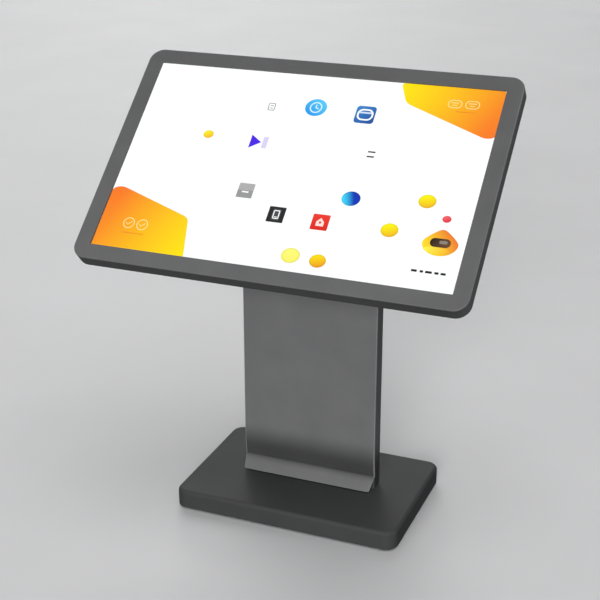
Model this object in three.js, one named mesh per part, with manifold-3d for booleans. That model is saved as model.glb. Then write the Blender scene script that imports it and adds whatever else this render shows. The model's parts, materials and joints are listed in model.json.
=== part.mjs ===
// A floor-standing touchscreen kiosk: a wide tilted display on a flat column and a weighted base.
// Millimetres, +Z up, the screen faces -Y. The origin is on the floor, under the middle of the kiosk.
import * as THREE from "three";
import { mergeVertices } from "three/addons/utils/BufferGeometryUtils.js";
import Module from "manifold-3d";

const wasm = await Module();
wasm.setup();

// ---------------------------------------------------------------- driving dimensions
const GAP = 0.3; // between pieces that touch
const SHEET = 2; // folded steel sheet of the column and the base
const CORNER_STEPS = 7; // flat pieces in a quarter round

const BASE = { width: 635, depth: 419, height: 51, corner: 34, edge: 10, floorGap: 5, centreY: 69 };
const BASE_TOP = BASE.floorGap + BASE.height;
const BASE_PLATE = { thick: 6, low: BASE.floorGap + 0.5 };
const PLATE_TOP = BASE_PLATE.low + BASE_PLATE.thick;

const COLUMN = { width: 385, thick: 45.5, front: 59.9, bend: 3 };
const COLUMN_BACK = COLUMN.front + COLUMN.thick;
// The front sheet curves back by the recess between curveTop and the crease, and its lip flares out below.
const LIP = { crease: 93, recess: 6, curveTop: 174, bottom: 58.8, reach: 31.8, taper: 7, round: 9, thick: 3 };

const HEAD = { width: 1026, height: 654, thick: 41.7, corner: 38, edge: 3, y: -35.3, z: 975.8 };
const HEAD_LEAN = 41.6; // degrees that the face lies back from facing straight forward, about X
const WINDOW = { width: 941, height: 570.4, corner: 2 };
const BEZEL = { face: 3, skirt: 2.5, seam: 22, lip: 3, lipDepth: 5.7 };
const SENSOR = { width: 1005, height: 633, corner: 16, clearance: 1 };
const GLASS = { width: 955, height: 584, thick: 4, recess: 6 };
const LCD = { width: 985, height: 614, front: 10.8, thick: 8 };
const TRAY = { front: 19.1, back: 26.9, sheet: 1.5, wall: 3 };
const COVER = { sheet: 1.5, edge: 6, ventX: 290, ventY: 235, ventLength: 70, ventWidth: 5 };
const RAIL = { x: 130, width: 60, length: 596, front: 20.9, back: 39.6, sheet: 2 };
const BOARD = { thick: 1.6, standoff: 1.5 };
const SPEAKER = { x: 360, width: 112, height: 46, cone: 17, slotLength: 26, slotWidth: 3.4 };

const BRACKET = { width: 340, height: 220, thick: 4, centre: 120, corner: 12 };
const BRACKET_BOLT = { x: 130, rise: 80, shank: 3.8, hole: 4.3, head: 7, headDepth: 4.5, tip: 35 };
const HEX_SOCKET = 2.9; // corner radius
const BRACKET_FRONT = HEAD.thick + GAP;
const BRACKET_BACK = BRACKET_FRONT + BRACKET.thick;

const POST = { x: 172, y: 85.7, size: 30, wall: 2 };
const FLANGE = { width: 376, depth: 70, thick: 6 };
const FLANGE_TOP = PLATE_TOP + GAP + FLANGE.thick;

const DOOR = { halfWidth: 149, low: 250, high: 690, fold: 10 };
const HINGE = { barrel: 4, pin: 1.9, bore: 2.3, leaf: 20, leafThick: 1.5, knuckle: 16, z: [310, 630] };
const HINGE_X = -DOOR.halfWidth;
const HINGE_Y = COLUMN_BACK + HINGE.barrel + 0.6;
const LOCK = { x: 125, z: 470, barrel: 8.7, flange: 11, plug: 5.6, bore: 6, camReach: 30, camWidth: 12 };

const FAN = { size: 80, depth: 15, bore: 38, z: 820, hub: 15, blade: 36, blades: 7 };
const FOOT = { x: 270, y: 165, pad: 20, padThick: 4.5, stud: 5, studTop: 25, hole: 5.4 };
const FOOT_NUT = { radius: 12, height: 10 };
const BALLAST = { width: 460, thick: 20, corner: 8 };

// The plate screwed over a notch in the foot of the column's back, with the power inlet and the switch.
const ENTRY = { x: 40, width: 128, low: 60, high: 132, overlap: 5 };
const ENTRY_FACE = COLUMN_BACK + GAP + SHEET;
const INLET = { x: 60, z: 96, width: 28, height: 21, flangeWidth: 48, flangeHeight: 27, depth: 24 };
const SOCKET = { width: 24.4, height: 16.6, depth: 15 };
const ROCKER = { x: 18, z: 96, width: 12, throwDeg: 16, bodyWidth: 16, bodyHeight: 19 };
const IO = { width: 170, height: 34, v: -262, margin: 8, sheet: 1.5 };
const BUTTON = { x: 70, radius: 6, flange: 8, proud: 0.8 };

// ---------------------------------------------------------------- colours
const paint = { color: 0x505153, roughness: 0.42, metalness: 0.3 };
const darkPaint = { color: 0x37383a, roughness: 0.5, metalness: 0.3 };
const steel = { color: 0x9a9da0, roughness: 0.4, metalness: 0.9 };
const zinc = { color: 0xb4b7ba, roughness: 0.35, metalness: 0.9 };
const plastic = { color: 0x1b1c1e, roughness: 0.55, metalness: 0 };
const board = { color: 0x1d5a34, roughness: 0.5, metalness: 0 };
const rubber = { color: 0x161616, roughness: 0.9, metalness: 0 };
const clearGlass = { color: 0xf4f7f8, roughness: 0.05, metalness: 0, transparent: true, opacity: 0.35 };
const screen = { color: 0xf6f6f4, roughness: 0.3, metalness: 0 };

// ---------------------------------------------------------------- solid helpers
function toSolid(geometry) {
  const bare = geometry.clone();
  bare.deleteAttribute("normal");
  bare.deleteAttribute("uv");
  const merged = mergeVertices(bare, 1e-4);
  return new wasm.Manifold(
    new wasm.Mesh({
      numProp: 3,
      vertProperties: merged.attributes.position.array,
      triVerts: new Uint32Array(merged.index.array),
    }),
  );
}

function toGeometry(solid) {
  const { vertProperties, triVerts } = solid.getMesh();
  const geometry = new THREE.BufferGeometry();
  geometry.setAttribute("position", new THREE.BufferAttribute(vertProperties, 3));
  geometry.setIndex(new THREE.BufferAttribute(triVerts, 1));
  geometry.computeVertexNormals();
  return geometry;
}

function cut(body, ...tools) {
  return toGeometry(tools.reduce((rest, tool) => rest.subtract(toSolid(tool)), toSolid(body)));
}

function join(first, ...others) {
  return toGeometry(others.reduce((sum, other) => sum.add(toSolid(other)), toSolid(first)));
}

// A closed body through rings of points, the lowest ring first, each ring counter-clockwise from above.
function loft(rings) {
  const count = rings[0].length;
  const top = (rings.length - 1) * count;
  const index = [];
  for (let start = 0; start < top; start += count)
    for (let i = 0; i < count; i++) {
      const a = start + i;
      const b = start + ((i + 1) % count);
      index.push(a, b, b + count, a, b + count, a + count);
    }
  const outline = rings[0].map(([x, y]) => new THREE.Vector2(x, y));
  for (const [a, b, c] of THREE.ShapeUtils.triangulateShape(outline, []))
    index.push(c, b, a, top + a, top + b, top + c);
  const geometry = new THREE.BufferGeometry();
  geometry.setAttribute("position", new THREE.Float32BufferAttribute(rings.flat(2), 3));
  geometry.setIndex(index);
  return geometry;
}

// Points of a rounded rectangle centred on the Z axis.
function roundedRing(width, depth, corner, z, steps = CORNER_STEPS) {
  const ring = [];
  for (let quarter = 0; quarter < 4; quarter++) {
    const sx = quarter === 0 || quarter === 3 ? 1 : -1;
    const sy = quarter < 2 ? 1 : -1;
    for (let i = 0; i <= steps; i++) {
      const angle = (Math.PI / 2) * (quarter + i / steps);
      const x = sx * (width / 2 - corner) + corner * Math.cos(angle);
      const y = sy * (depth / 2 - corner) + corner * Math.sin(angle);
      ring.push([x, y, z]);
    }
  }
  return ring;
}

// A rounded block whose outline steps in by an inset at each level: levels are [inset, z], lowest first.
function layered(width, depth, corner, levels, steps = CORNER_STEPS) {
  return loft(
    levels.map(([inset, z]) =>
      roundedRing(width - 2 * inset, depth - 2 * inset, Math.max(corner - inset, 0.5), z, steps),
    ),
  );
}

function slab(width, depth, corner, low, high, x = 0, y = 0, steps = CORNER_STEPS) {
  const levels = [
    [0, low],
    [0, high],
  ];
  return layered(width, depth, corner, levels, steps).translate(x, y, 0);
}

// Levels of an outside edge rounded from a wall up (direction 1) or down (direction -1) to a face at z.
function roundedEdge(radius, z, direction, steps = 4) {
  const levels = [];
  for (let i = 0; i <= steps; i++) {
    const angle = (Math.PI / 2) * (i / steps);
    levels.push([radius * (1 - Math.cos(angle)), z - direction * radius * (1 - Math.sin(angle))]);
  }
  return direction > 0 ? levels : levels.reverse();
}

function block(low, high) {
  const size = high.map((value, i) => value - low[i]);
  const middle = high.map((value, i) => (value + low[i]) / 2);
  return new THREE.BoxGeometry(...size).translate(...middle);
}

// A round bar from low to high along Z, Y or X, centred on the other two coordinates.
function rod(radius, low, high, axis, centre, steps = 24) {
  const bar = new THREE.CylinderGeometry(radius, radius, high - low, steps);
  const [a, b] = centre;
  const middle = (low + high) / 2;
  if (axis === "z") return bar.rotateX(Math.PI / 2).translate(a, b, middle);
  if (axis === "y") return bar.translate(a, middle, b);
  return bar.rotateZ(Math.PI / 2).translate(middle, a, b);
}

// A row or grid of long slots through a plate that faces Z.
function slots(columns, rows, pitchX, pitchY, length, width, low, high, x, y) {
  const cuts = [];
  for (let column = 0; column < columns; column++)
    for (let row = 0; row < rows; row++) {
      const cx = x + (column - (columns - 1) / 2) * pitchX;
      const cy = y + (row - (rows - 1) / 2) * pitchY;
      cuts.push(slab(length, width, width / 2 - 0.01, low, high, cx, cy, 1));
    }
  return cuts;
}

const kiosk = new THREE.Group();
const head = new THREE.Group();
head.position.set(0, HEAD.y, HEAD.z);
head.rotation.x = THREE.MathUtils.degToRad(HEAD_LEAN);
kiosk.add(head);
head.updateMatrixWorld(true);

function add(group, name, geometry, look) {
  const mesh = new THREE.Mesh(geometry, new THREE.MeshStandardMaterial(look));
  mesh.name = name;
  group.add(mesh);
}

// ---------------------------------------------------------------- head
// Head pieces are built flat: X across, Y up the face, Z out of the face, the front face at Z = 0.
function frontBezel() {
  const outer = layered(HEAD.width, HEAD.height, HEAD.corner, [
    [0, -BEZEL.seam],
    ...roundedEdge(HEAD.edge, 0, 1, 3),
  ]);
  const inside = slab(
    HEAD.width - 2 * BEZEL.skirt,
    HEAD.height - 2 * BEZEL.skirt,
    HEAD.corner - BEZEL.skirt,
    -BEZEL.seam - 1,
    -BEZEL.face,
  );
  const frameLip = slab(
    WINDOW.width + 2 * BEZEL.lip,
    WINDOW.height + 2 * BEZEL.lip,
    WINDOW.corner + BEZEL.lip,
    -BEZEL.lipDepth,
    -BEZEL.face / 2,
    0,
    0,
    2,
  );
  const window = slab(WINDOW.width, WINDOW.height, WINDOW.corner, -BEZEL.seam - 1, 1, 0, 0, 2);
  return cut(join(cut(outer, inside), frameLip), window);
}

function ringPlate(outerWidth, outerHeight, innerWidth, innerHeight, low, high) {
  const outer = slab(outerWidth, outerHeight, SENSOR.corner, low, high, 0, 0, 3);
  return cut(outer, slab(innerWidth, innerHeight, 4, low - 1, high + 1, 0, 0, 2));
}

function backlightTray() {
  const outer = slab(LCD.width, LCD.height, 4, -TRAY.back, -TRAY.front, 0, 0, 2);
  const pocketWidth = LCD.width - 2 * TRAY.wall;
  const pocketHeight = LCD.height - 2 * TRAY.wall;
  return cut(outer, slab(pocketWidth, pocketHeight, 2, -TRAY.back - 1, -TRAY.front - TRAY.sheet, 0, 0, 2));
}

function boltPlaces() {
  const places = [];
  for (const x of [-BRACKET_BOLT.x, BRACKET_BOLT.x])
    for (const rise of [-BRACKET_BOLT.rise, BRACKET_BOLT.rise]) places.push([x, BRACKET.centre + rise]);
  return places;
}

function boltHoles(low, high) {
  return boltPlaces().map((place) => rod(BRACKET_BOLT.hole, low, high, "z", place, 16));
}

// An open channel whose web is at the back, with two bolt holes in the web.
function panelRail(x) {
  const half = RAIL.width / 2;
  const body = block([x - half, -RAIL.length / 2, -RAIL.back], [x + half, RAIL.length / 2, -RAIL.front]);
  const trough = block(
    [x - half + RAIL.sheet, -RAIL.length / 2 - 1, -RAIL.back + RAIL.sheet],
    [x + half - RAIL.sheet, RAIL.length / 2 + 1, -RAIL.front + 1],
  );
  return cut(body, trough, ...boltHoles(-RAIL.back - 1, -RAIL.back + RAIL.sheet + 1));
}

const CABLE_HOLE = { x: -40, v: 120, radius: 14 };

function rearCover() {
  const low = -HEAD.thick;
  const high = -BEZEL.seam - GAP;
  const outer = layered(HEAD.width, HEAD.height, HEAD.corner, [
    ...roundedEdge(COVER.edge, low, -1),
    [0, high],
  ]);
  const inside = slab(
    HEAD.width - 2 * COVER.sheet,
    HEAD.height - 2 * COVER.sheet,
    HEAD.corner - COVER.sheet,
    low + COVER.sheet,
    high + 1,
  );
  const insideEdge = layered(HEAD.width - 2 * COVER.sheet, HEAD.height - 2 * COVER.sheet, HEAD.corner, [
    ...roundedEdge(COVER.edge, low + COVER.sheet, -1),
    [0, high + 1],
  ]);
  const hollow = toGeometry(toSolid(inside).intersect(toSolid(insideEdge)));
  const through = [low - 1, low + COVER.sheet + 1];
  const vents = [-COVER.ventX, COVER.ventX].flatMap((x) =>
    slots(2, 8, 84, 13, COVER.ventLength, COVER.ventWidth, ...through, x, COVER.ventY),
  );
  const grilles = [-SPEAKER.x, SPEAKER.x].flatMap((x) =>
    slots(3, 4, 34, 9, SPEAKER.slotLength, SPEAKER.slotWidth, ...through, x, IO.v),
  );
  const ioOpening = slab(IO.width, IO.height, 4, ...through, 0, IO.v, 2);
  const cableHole = rod(CABLE_HOLE.radius, ...through, "z", [CABLE_HOLE.x, CABLE_HOLE.v]);
  return cut(outer, hollow, ioOpening, cableHole, ...boltHoles(...through), ...vents, ...grilles);
}

const IO_LOW = -HEAD.thick + COVER.sheet + GAP;
const IO_HIGH = IO_LOW + IO.sheet;

// The connector plate behind the opening at the foot of the rear cover.
function ioPanel() {
  const [low, high] = [IO_LOW, IO_HIGH];
  const plate = slab(IO.width + 2 * IO.margin, IO.height + 2 * IO.margin, 3, low, high, 0, IO.v, 2);
  const port = (x, width, height) =>
    block([x - width / 2, IO.v - height / 2, low - 1], [x + width / 2, IO.v + height / 2, high + 1]);
  const ports = [port(-66, 15, 6), port(-40, 13, 6), port(-16, 13, 6), port(14, 16, 13)];
  return cut(plate, ...ports, rod(BUTTON.radius + 0.5, low - 1, high + 1, "z", [BUTTON.x, IO.v]));
}

function powerButton() {
  const cap = rod(BUTTON.radius, -HEAD.thick - BUTTON.proud, IO_HIGH + 3, "z", [BUTTON.x, IO.v]);
  const flange = rod(BUTTON.flange, IO_HIGH + 0.4, IO_HIGH + 2.4, "z", [BUTTON.x, IO.v]);
  return join(cap, flange);
}

// A printed board standing off the tray. Its parts are [x, y, width, height, how tall], from its centre.
function circuitBoard(width, height, x, y, parts) {
  const front = -TRAY.back - BOARD.standoff;
  const back = front - BOARD.thick;
  const sheet = block([x - width / 2, y - height / 2, back], [x + width / 2, y + height / 2, front]);
  const chips = parts.map(([dx, dy, w, h, tall]) =>
    block([x + dx - w / 2, y + dy - h / 2, back - tall], [x + dx + w / 2, y + dy + h / 2, front - 1]),
  );
  return join(sheet, ...chips);
}

function speaker(x) {
  const back = -HEAD.thick + COVER.sheet + 1;
  const box = slab(SPEAKER.width, SPEAKER.height, 8, back, -TRAY.back - 0.6, x, IO.v, 2);
  const cone = rod(SPEAKER.cone, back - 1, back + 3, "z", [x, IO.v]);
  return cut(box, cone);
}

function buildHead() {
  add(head, "front_bezel", frontBezel(), paint);
  const aperture = [GLASS.width + 2 * SENSOR.clearance, GLASS.height + 2 * SENSOR.clearance];
  const sensorRing = ringPlate(SENSOR.width, SENSOR.height, ...aperture, -LCD.front + GAP, -BEZEL.face - GAP);
  add(head, "touch_sensor_frame", sensorRing, plastic);
  const glassBack = -GLASS.recess - GLASS.thick;
  const glass = slab(GLASS.width, GLASS.height, 3, glassBack, -GLASS.recess, 0, 0, 2);
  add(head, "touch_glass", glass, clearGlass);
  const lcdBack = -LCD.front - LCD.thick;
  add(head, "lcd_panel", slab(LCD.width, LCD.height, 4, lcdBack, -LCD.front, 0, 0, 2), screen);
  add(head, "backlight_tray", backlightTray(), zinc);
  add(head, "panel_rail_left", panelRail(-RAIL.x), zinc);
  add(head, "panel_rail_right", panelRail(RAIL.x), zinc);
  const driverParts = [
    [-50, 20, 34, 34, 5],
    [20, -20, 26, 26, 3],
    [60, 30, 40, 12, 7],
    [-60, -36, 50, 10, 7],
  ];
  add(head, "driver_board", circuitBoard(180, 110, -260, 0, driverParts), board);
  add(head, "touch_controller", circuitBoard(70, 44, 260, 60, [[0, 0, 18, 18, 3]]), board);
  add(head, "rear_cover", rearCover(), paint);
  add(head, "speaker_left", speaker(-SPEAKER.x), plastic);
  add(head, "speaker_right", speaker(SPEAKER.x), plastic);
  add(head, "io_panel", ioPanel(), steel);
  add(head, "power_button", powerButton(), zinc);
}

// ---------------------------------------------------------------- head bracket
function headBracket() {
  const low = -BRACKET_BACK;
  const high = -BRACKET_FRONT;
  const plate = slab(BRACKET.width, BRACKET.height, BRACKET.corner, low, high, 0, BRACKET.centre, 4);
  const cableHole = rod(CABLE_HOLE.radius, low - 1, high + 1, "z", [CABLE_HOLE.x, CABLE_HOLE.v]);
  return cut(plate, cableHole, ...boltHoles(low - 1, high + 1));
}

function buildBracket() {
  add(head, "head_bracket", headBracket(), darkPaint);
  const headTop = -BRACKET_BACK - GAP;
  boltPlaces().forEach((place, i) => {
    const shank = rod(BRACKET_BOLT.shank, headTop - 1, -BRACKET_BOLT.tip, "z", place, 16);
    const boltHead = rod(BRACKET_BOLT.head, headTop - BRACKET_BOLT.headDepth, headTop, "z", place, 20);
    const socket = rod(HEX_SOCKET, headTop - 6, headTop - 2, "z", place, 6);
    add(head, `bracket_bolt_${i + 1}`, cut(join(shank, boltHead), socket), zinc);
  });
}

// Everything in front of the bracket's back face, for trimming the tops of the column's pieces.
function spaceAboveColumn() {
  const reach = 600;
  const room = block([-reach, -reach, -BRACKET_BACK - GAP], [reach, reach, reach]);
  return room.applyMatrix4(head.matrixWorld);
}

// ---------------------------------------------------------------- column
const COLUMN_TOP = 1100; // before the slanted trim
const COLUMN_FOOT = BASE_TOP + GAP;

// How far the front sheet curves back at a height.
function recessAt(z) {
  const share = THREE.MathUtils.clamp((LIP.curveTop - z) / (LIP.curveTop - LIP.crease), 0, 1);
  return LIP.recess * share * share;
}

// A level section of the folded front sheet, open to the back, its two front edges bent round.
function channelRing(z) {
  const half = COLUMN.width / 2;
  const front = COLUMN.front + recessAt(z);
  const ring = [
    [half - SHEET, front + SHEET],
    [half - SHEET, COLUMN_BACK],
    [half, COLUMN_BACK],
  ];
  const bend = (side, startDeg) => {
    for (let i = 0; i <= 3; i++) {
      const angle = THREE.MathUtils.degToRad(startDeg - 30 * i);
      const x = side * (half - COLUMN.bend) + COLUMN.bend * Math.cos(angle);
      ring.push([x, front + COLUMN.bend + COLUMN.bend * Math.sin(angle)]);
    }
  };
  bend(1, 0);
  bend(-1, -90);
  ring.push([-half, COLUMN_BACK], [-half + SHEET, COLUMN_BACK], [-half + SHEET, front + SHEET]);
  return ring.reverse().map(([x, y]) => [x, y, z]);
}

// The flared plate at the foot of the front sheet, with rounded lower corners.
function flaredLip() {
  const drop = LIP.crease - LIP.bottom;
  const length = Math.hypot(drop, LIP.reach);
  const top = COLUMN.width / 2 - 0.5;
  const bottom = COLUMN.width / 2 - LIP.taper;
  const r = LIP.round;
  const shape = new THREE.Shape();
  shape.moveTo(-top, 2);
  shape.lineTo(-bottom, -length + r);
  shape.quadraticCurveTo(-bottom, -length, -bottom + r, -length);
  shape.lineTo(bottom - r, -length);
  shape.quadraticCurveTo(bottom, -length, bottom, -length + r);
  shape.lineTo(top, 2);
  const settings = { depth: LIP.thick, bevelEnabled: false, curveSegments: 4 };
  const plate = new THREE.ExtrudeGeometry(shape, settings);
  // The drawing's Y runs up the lip and its Z out of it; the outer face passes through the crease.
  const flare = Math.atan2(LIP.reach, drop);
  plate.translate(0, 0, -LIP.thick).rotateX(Math.PI / 2 - flare);
  return plate.translate(0, COLUMN.front + LIP.recess, LIP.crease);
}

function columnFront() {
  const curve = 6;
  const levels = [COLUMN_FOOT, LIP.crease];
  for (let i = 1; i <= curve; i++) levels.push(LIP.crease + ((LIP.curveTop - LIP.crease) * i) / curve);
  const channel = loft([...levels, COLUMN_TOP].map(channelRing));
  return cut(join(channel, flaredLip()), spaceAboveColumn());
}

// A pattern of slots through an upright sheet that faces Y.
function uprightSlots(rows, pitch, length, width, z) {
  return slots(1, rows, 0, pitch, length, width, -SHEET - 1, SHEET + 1, 0, 0).map((slot) =>
    slot.rotateX(Math.PI / 2).translate(0, COLUMN_BACK - SHEET / 2, z),
  );
}

function columnBack() {
  const half = COLUMN.width / 2 - SHEET - GAP;
  const sheet = block([-half, COLUMN_BACK - SHEET, COLUMN_FOOT], [half, COLUMN_BACK, COLUMN_TOP]);
  const doorway = block(
    [-DOOR.halfWidth, COLUMN_BACK - SHEET - 1, DOOR.low],
    [DOOR.halfWidth, COLUMN_BACK + 1, DOOR.high],
  );
  const notchHalf = ENTRY.width / 2 - ENTRY.overlap;
  const notch = block(
    [ENTRY.x - notchHalf, COLUMN_BACK - SHEET - 1, COLUMN_FOOT - 1],
    [ENTRY.x + notchHalf, COLUMN_BACK + 1, ENTRY.high - ENTRY.overlap],
  );
  const vents = [...uprightSlots(7, 10, 66, 4, FAN.z), ...uprightSlots(6, 12, 200, 5, 170)];
  return cut(sheet, doorway, notch, spaceAboveColumn(), ...vents);
}

function post(side) {
  const x = side * POST.x;
  const half = POST.size / 2;
  const wall = POST.wall;
  const foot = FLANGE_TOP + GAP;
  const outer = block([x - half, POST.y - half, foot], [x + half, POST.y + half, COLUMN_TOP]);
  const bore = block(
    [x - half + wall, POST.y - half + wall, FLANGE_TOP - 1],
    [x + half - wall, POST.y + half - wall, COLUMN_TOP + 1],
  );
  return cut(outer, bore, spaceAboveColumn());
}

const BETWEEN_POSTS = POST.x - POST.size / 2 - GAP; // half the clear width
const BRACE = { half: 20, depth: 18 };

// A level channel between the posts, open to the back.
function crossBrace(z) {
  const front = POST.y - POST.size / 2;
  const { half, depth } = BRACE;
  const body = block([-BETWEEN_POSTS, front, z - half], [BETWEEN_POSTS, front + depth, z + half]);
  const trough = block(
    [-BETWEEN_POSTS - 1, front + SHEET, z - half + SHEET],
    [BETWEEN_POSTS + 1, front + depth + 1, z + half - SHEET],
  );
  return cut(body, trough);
}

const EQUIPMENT = { front: 64.5, sheet: 1.5, low: 230, high: 740 };
const BAY_FRONT = EQUIPMENT.front + EQUIPMENT.sheet + GAP;

const COMPUTER = { x: -45, z: 585, width: 190, height: 170, thick: 30 };
const GROOVE = { count: 12, width: 9, pitch: 15, halfLength: 70, depth: 4 };
const SUPPLY = { x: 40, z: 370, width: 100, height: 200, thick: 30 };

// A fanless computer, drawn lying on its back: cooling grooves in its face and ports in its lower edge.
function miniComputer() {
  const { width, height, thick } = COMPUTER;
  const body = slab(width, height, 6, 0, thick, 0, 0, 3);
  const cuts = [];
  for (let i = 0; i < GROOVE.count; i++) {
    const left = (i - (GROOVE.count - 1) / 2) * GROOVE.pitch - GROOVE.width / 2;
    const corner = [left + GROOVE.width, GROOVE.halfLength, thick + 1];
    cuts.push(block([left, -GROOVE.halfLength, thick - GROOVE.depth], corner));
  }
  const edge = -height / 2;
  for (const x of [-60, -30, 0, 40]) cuts.push(block([x - 8, edge - 5, 8], [x + 8, edge + 6, 18]));
  const upright = cut(body, ...cuts).rotateX(Math.PI / 2).rotateZ(Math.PI);
  return upright.translate(COMPUTER.x, BAY_FRONT, COMPUTER.z);
}

// A boxed power supply with a step for its terminals along the lower edge.
function powerSupply() {
  const half = SUPPLY.width / 2;
  const [low, high] = [SUPPLY.z - SUPPLY.height / 2, SUPPLY.z + SUPPLY.height / 2];
  const back = BAY_FRONT + SUPPLY.thick;
  const body = block([SUPPLY.x - half, BAY_FRONT, low], [SUPPLY.x + half, back, high]);
  const inset = half - 6;
  const step = block([SUPPLY.x - inset, BAY_FRONT + 12, low - 1], [SUPPLY.x + inset, back + 1, low + 16]);
  return cut(body, step);
}

function buildColumn() {
  add(kiosk, "column_front", columnFront(), paint);
  add(kiosk, "column_back", columnBack(), paint);
  add(kiosk, "column_post_left", post(-1), darkPaint);
  add(kiosk, "column_post_right", post(1), darkPaint);
  add(kiosk, "cross_brace_lower", crossBrace(190), darkPaint);
  add(kiosk, "cross_brace_upper", crossBrace(900), darkPaint);
  const plate = block(
    [-BETWEEN_POSTS, EQUIPMENT.front, EQUIPMENT.low],
    [BETWEEN_POSTS, EQUIPMENT.front + EQUIPMENT.sheet, EQUIPMENT.high],
  );
  add(kiosk, "equipment_plate", plate, zinc);
  add(kiosk, "mini_computer", miniComputer(), plastic);
  add(kiosk, "power_supply", powerSupply(), steel);
}

// ---------------------------------------------------------------- service door
function serviceDoor() {
  const edge = DOOR.halfWidth - GAP;
  const [low, high] = [DOOR.low + GAP, DOOR.high - GAP];
  const inner = COLUMN_BACK - SHEET;
  const sheet = block([-edge, inner, low], [edge, COLUMN_BACK, high]);
  const folds = [low + 4, high - 4 - SHEET].map((z) =>
    block([-edge + 6, inner - DOOR.fold, z], [edge - 6, inner + 1, z + SHEET]),
  );
  const lockHole = rod(LOCK.barrel + GAP, inner - 1, COLUMN_BACK + 1, "y", [LOCK.x, LOCK.z]);
  const vents = uprightSlots(6, 12, 150, 5, 640);
  return cut(join(sheet, ...folds), lockHole, ...vents);
}

// One leaf of a butt hinge: a plate on the sheet's outer face and its knuckles round the pin.
function hingeLeaf(side, z, knuckles) {
  const near = HINGE_X + side * 1;
  const far = HINGE_X + side * (HINGE.barrel + HINGE.leaf);
  const tall = HINGE.knuckle * 1.5;
  const [outer, front] = [COLUMN_BACK + GAP, COLUMN_BACK + GAP + HINGE.leafThick];
  const start = HINGE_X + side * (HINGE.barrel - 0.2);
  const plate = block([Math.min(start, far), outer, z - tall], [Math.max(start, far), front, z + tall]);
  const pieces = knuckles.map(([low, high]) =>
    join(
      rod(HINGE.barrel, low, high, "z", [HINGE_X, HINGE_Y], 20),
      block([Math.min(near, far), outer, low], [Math.max(near, far), front, high]),
    ),
  );
  const bore = rod(HINGE.bore, z - tall - 1, z + tall + 1, "z", [HINGE_X, HINGE_Y], 20);
  return cut(join(plate, ...pieces), bore);
}

function buildHinges() {
  ["lower", "upper"].forEach((level, i) => {
    const z = HINGE.z[i];
    const half = HINGE.knuckle / 2;
    const tall = half * 3;
    const outerKnuckles = [
      [z - tall, z - half - GAP],
      [z + half + GAP, z + tall],
    ];
    add(kiosk, `hinge_leaf_frame_${level}`, hingeLeaf(-1, z, outerKnuckles), zinc);
    add(kiosk, `hinge_leaf_door_${level}`, hingeLeaf(1, z, [[z - half, z + half]]), zinc);
    const pin = rod(HINGE.pin, z - tall - 1, z + tall + 1, "z", [HINGE_X, HINGE_Y], 20);
    add(kiosk, `hinge_pin_${level}`, pin, steel);
  });
}

const LOCK_FACE = COLUMN_BACK + GAP;
const LOCK_INNER = COLUMN_BACK - 6;

function lockBarrel() {
  const body = rod(LOCK.barrel, LOCK_INNER, LOCK_FACE + 1, "y", [LOCK.x, LOCK.z]);
  const flange = rod(LOCK.flange, LOCK_FACE, LOCK_FACE + 2, "y", [LOCK.x, LOCK.z]);
  const bore = rod(LOCK.bore, LOCK_INNER - 1, LOCK_FACE + 3, "y", [LOCK.x, LOCK.z]);
  return cut(join(body, flange), bore);
}

function lockPlug() {
  const face = LOCK_FACE + 1.6;
  const body = rod(LOCK.plug, LOCK_INNER - 0.6, face, "y", [LOCK.x, LOCK.z]);
  const keySlot = block([LOCK.x - 0.8, face - 6, LOCK.z - 3.4], [LOCK.x + 0.8, face + 1, LOCK.z + 3.4]);
  return cut(body, keySlot);
}

// The cam hangs down while unlocked and turns out behind the strike to lock.
function lockCam() {
  const back = LOCK_INNER - 0.6 - GAP;
  const half = LOCK.camWidth / 2;
  const bar = block([LOCK.x - half, back - 2, LOCK.z - LOCK.camReach], [LOCK.x + half, back, LOCK.z]);
  return join(bar, rod(half, back - 2, back, "y", [LOCK.x, LOCK.z]));
}

function buildDoor() {
  add(kiosk, "service_door", serviceDoor(), paint);
  buildHinges();
  add(kiosk, "lock_barrel", lockBarrel(), zinc);
  add(kiosk, "lock_plug", lockPlug(), steel);
  add(kiosk, "lock_cam", lockCam(), zinc);
  const strikeX = DOOR.halfWidth + 1;
  const strike = block(
    [strikeX, LOCK_INNER + 0.2, LOCK.z - 20],
    [BETWEEN_POSTS - 0.4, COLUMN_BACK - SHEET - GAP, LOCK.z + 20],
  );
  add(kiosk, "lock_strike", strike, zinc);
}

// ---------------------------------------------------------------- exhaust fan
const FAN_BACK = COLUMN_BACK - SHEET - GAP;
const FAN_FRONT = FAN_BACK - FAN.depth;

function fanFrame() {
  const shell = slab(FAN.size, FAN.size, 5, FAN_FRONT, FAN_BACK, 0, 0, 3);
  const bore = rod(FAN.bore, FAN_FRONT - 1, FAN_BACK + 1, "z", [0, 0], 36);
  const struts = [0, 1].map((turn) =>
    block([-FAN.bore - 1, -2.5, FAN_FRONT], [FAN.bore + 1, 2.5, FAN_FRONT + 2.5]).rotateZ(
      Math.PI / 4 + (turn * Math.PI) / 2,
    ),
  );
  const motor = rod(FAN.hub, FAN_FRONT, FAN_FRONT + 2.5, "z", [0, 0], 24);
  const shaft = rod(1.5, FAN_FRONT, FAN_FRONT + 9, "z", [0, 0], 16);
  return join(cut(shell, bore), ...struts, motor, shaft);
}

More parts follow.
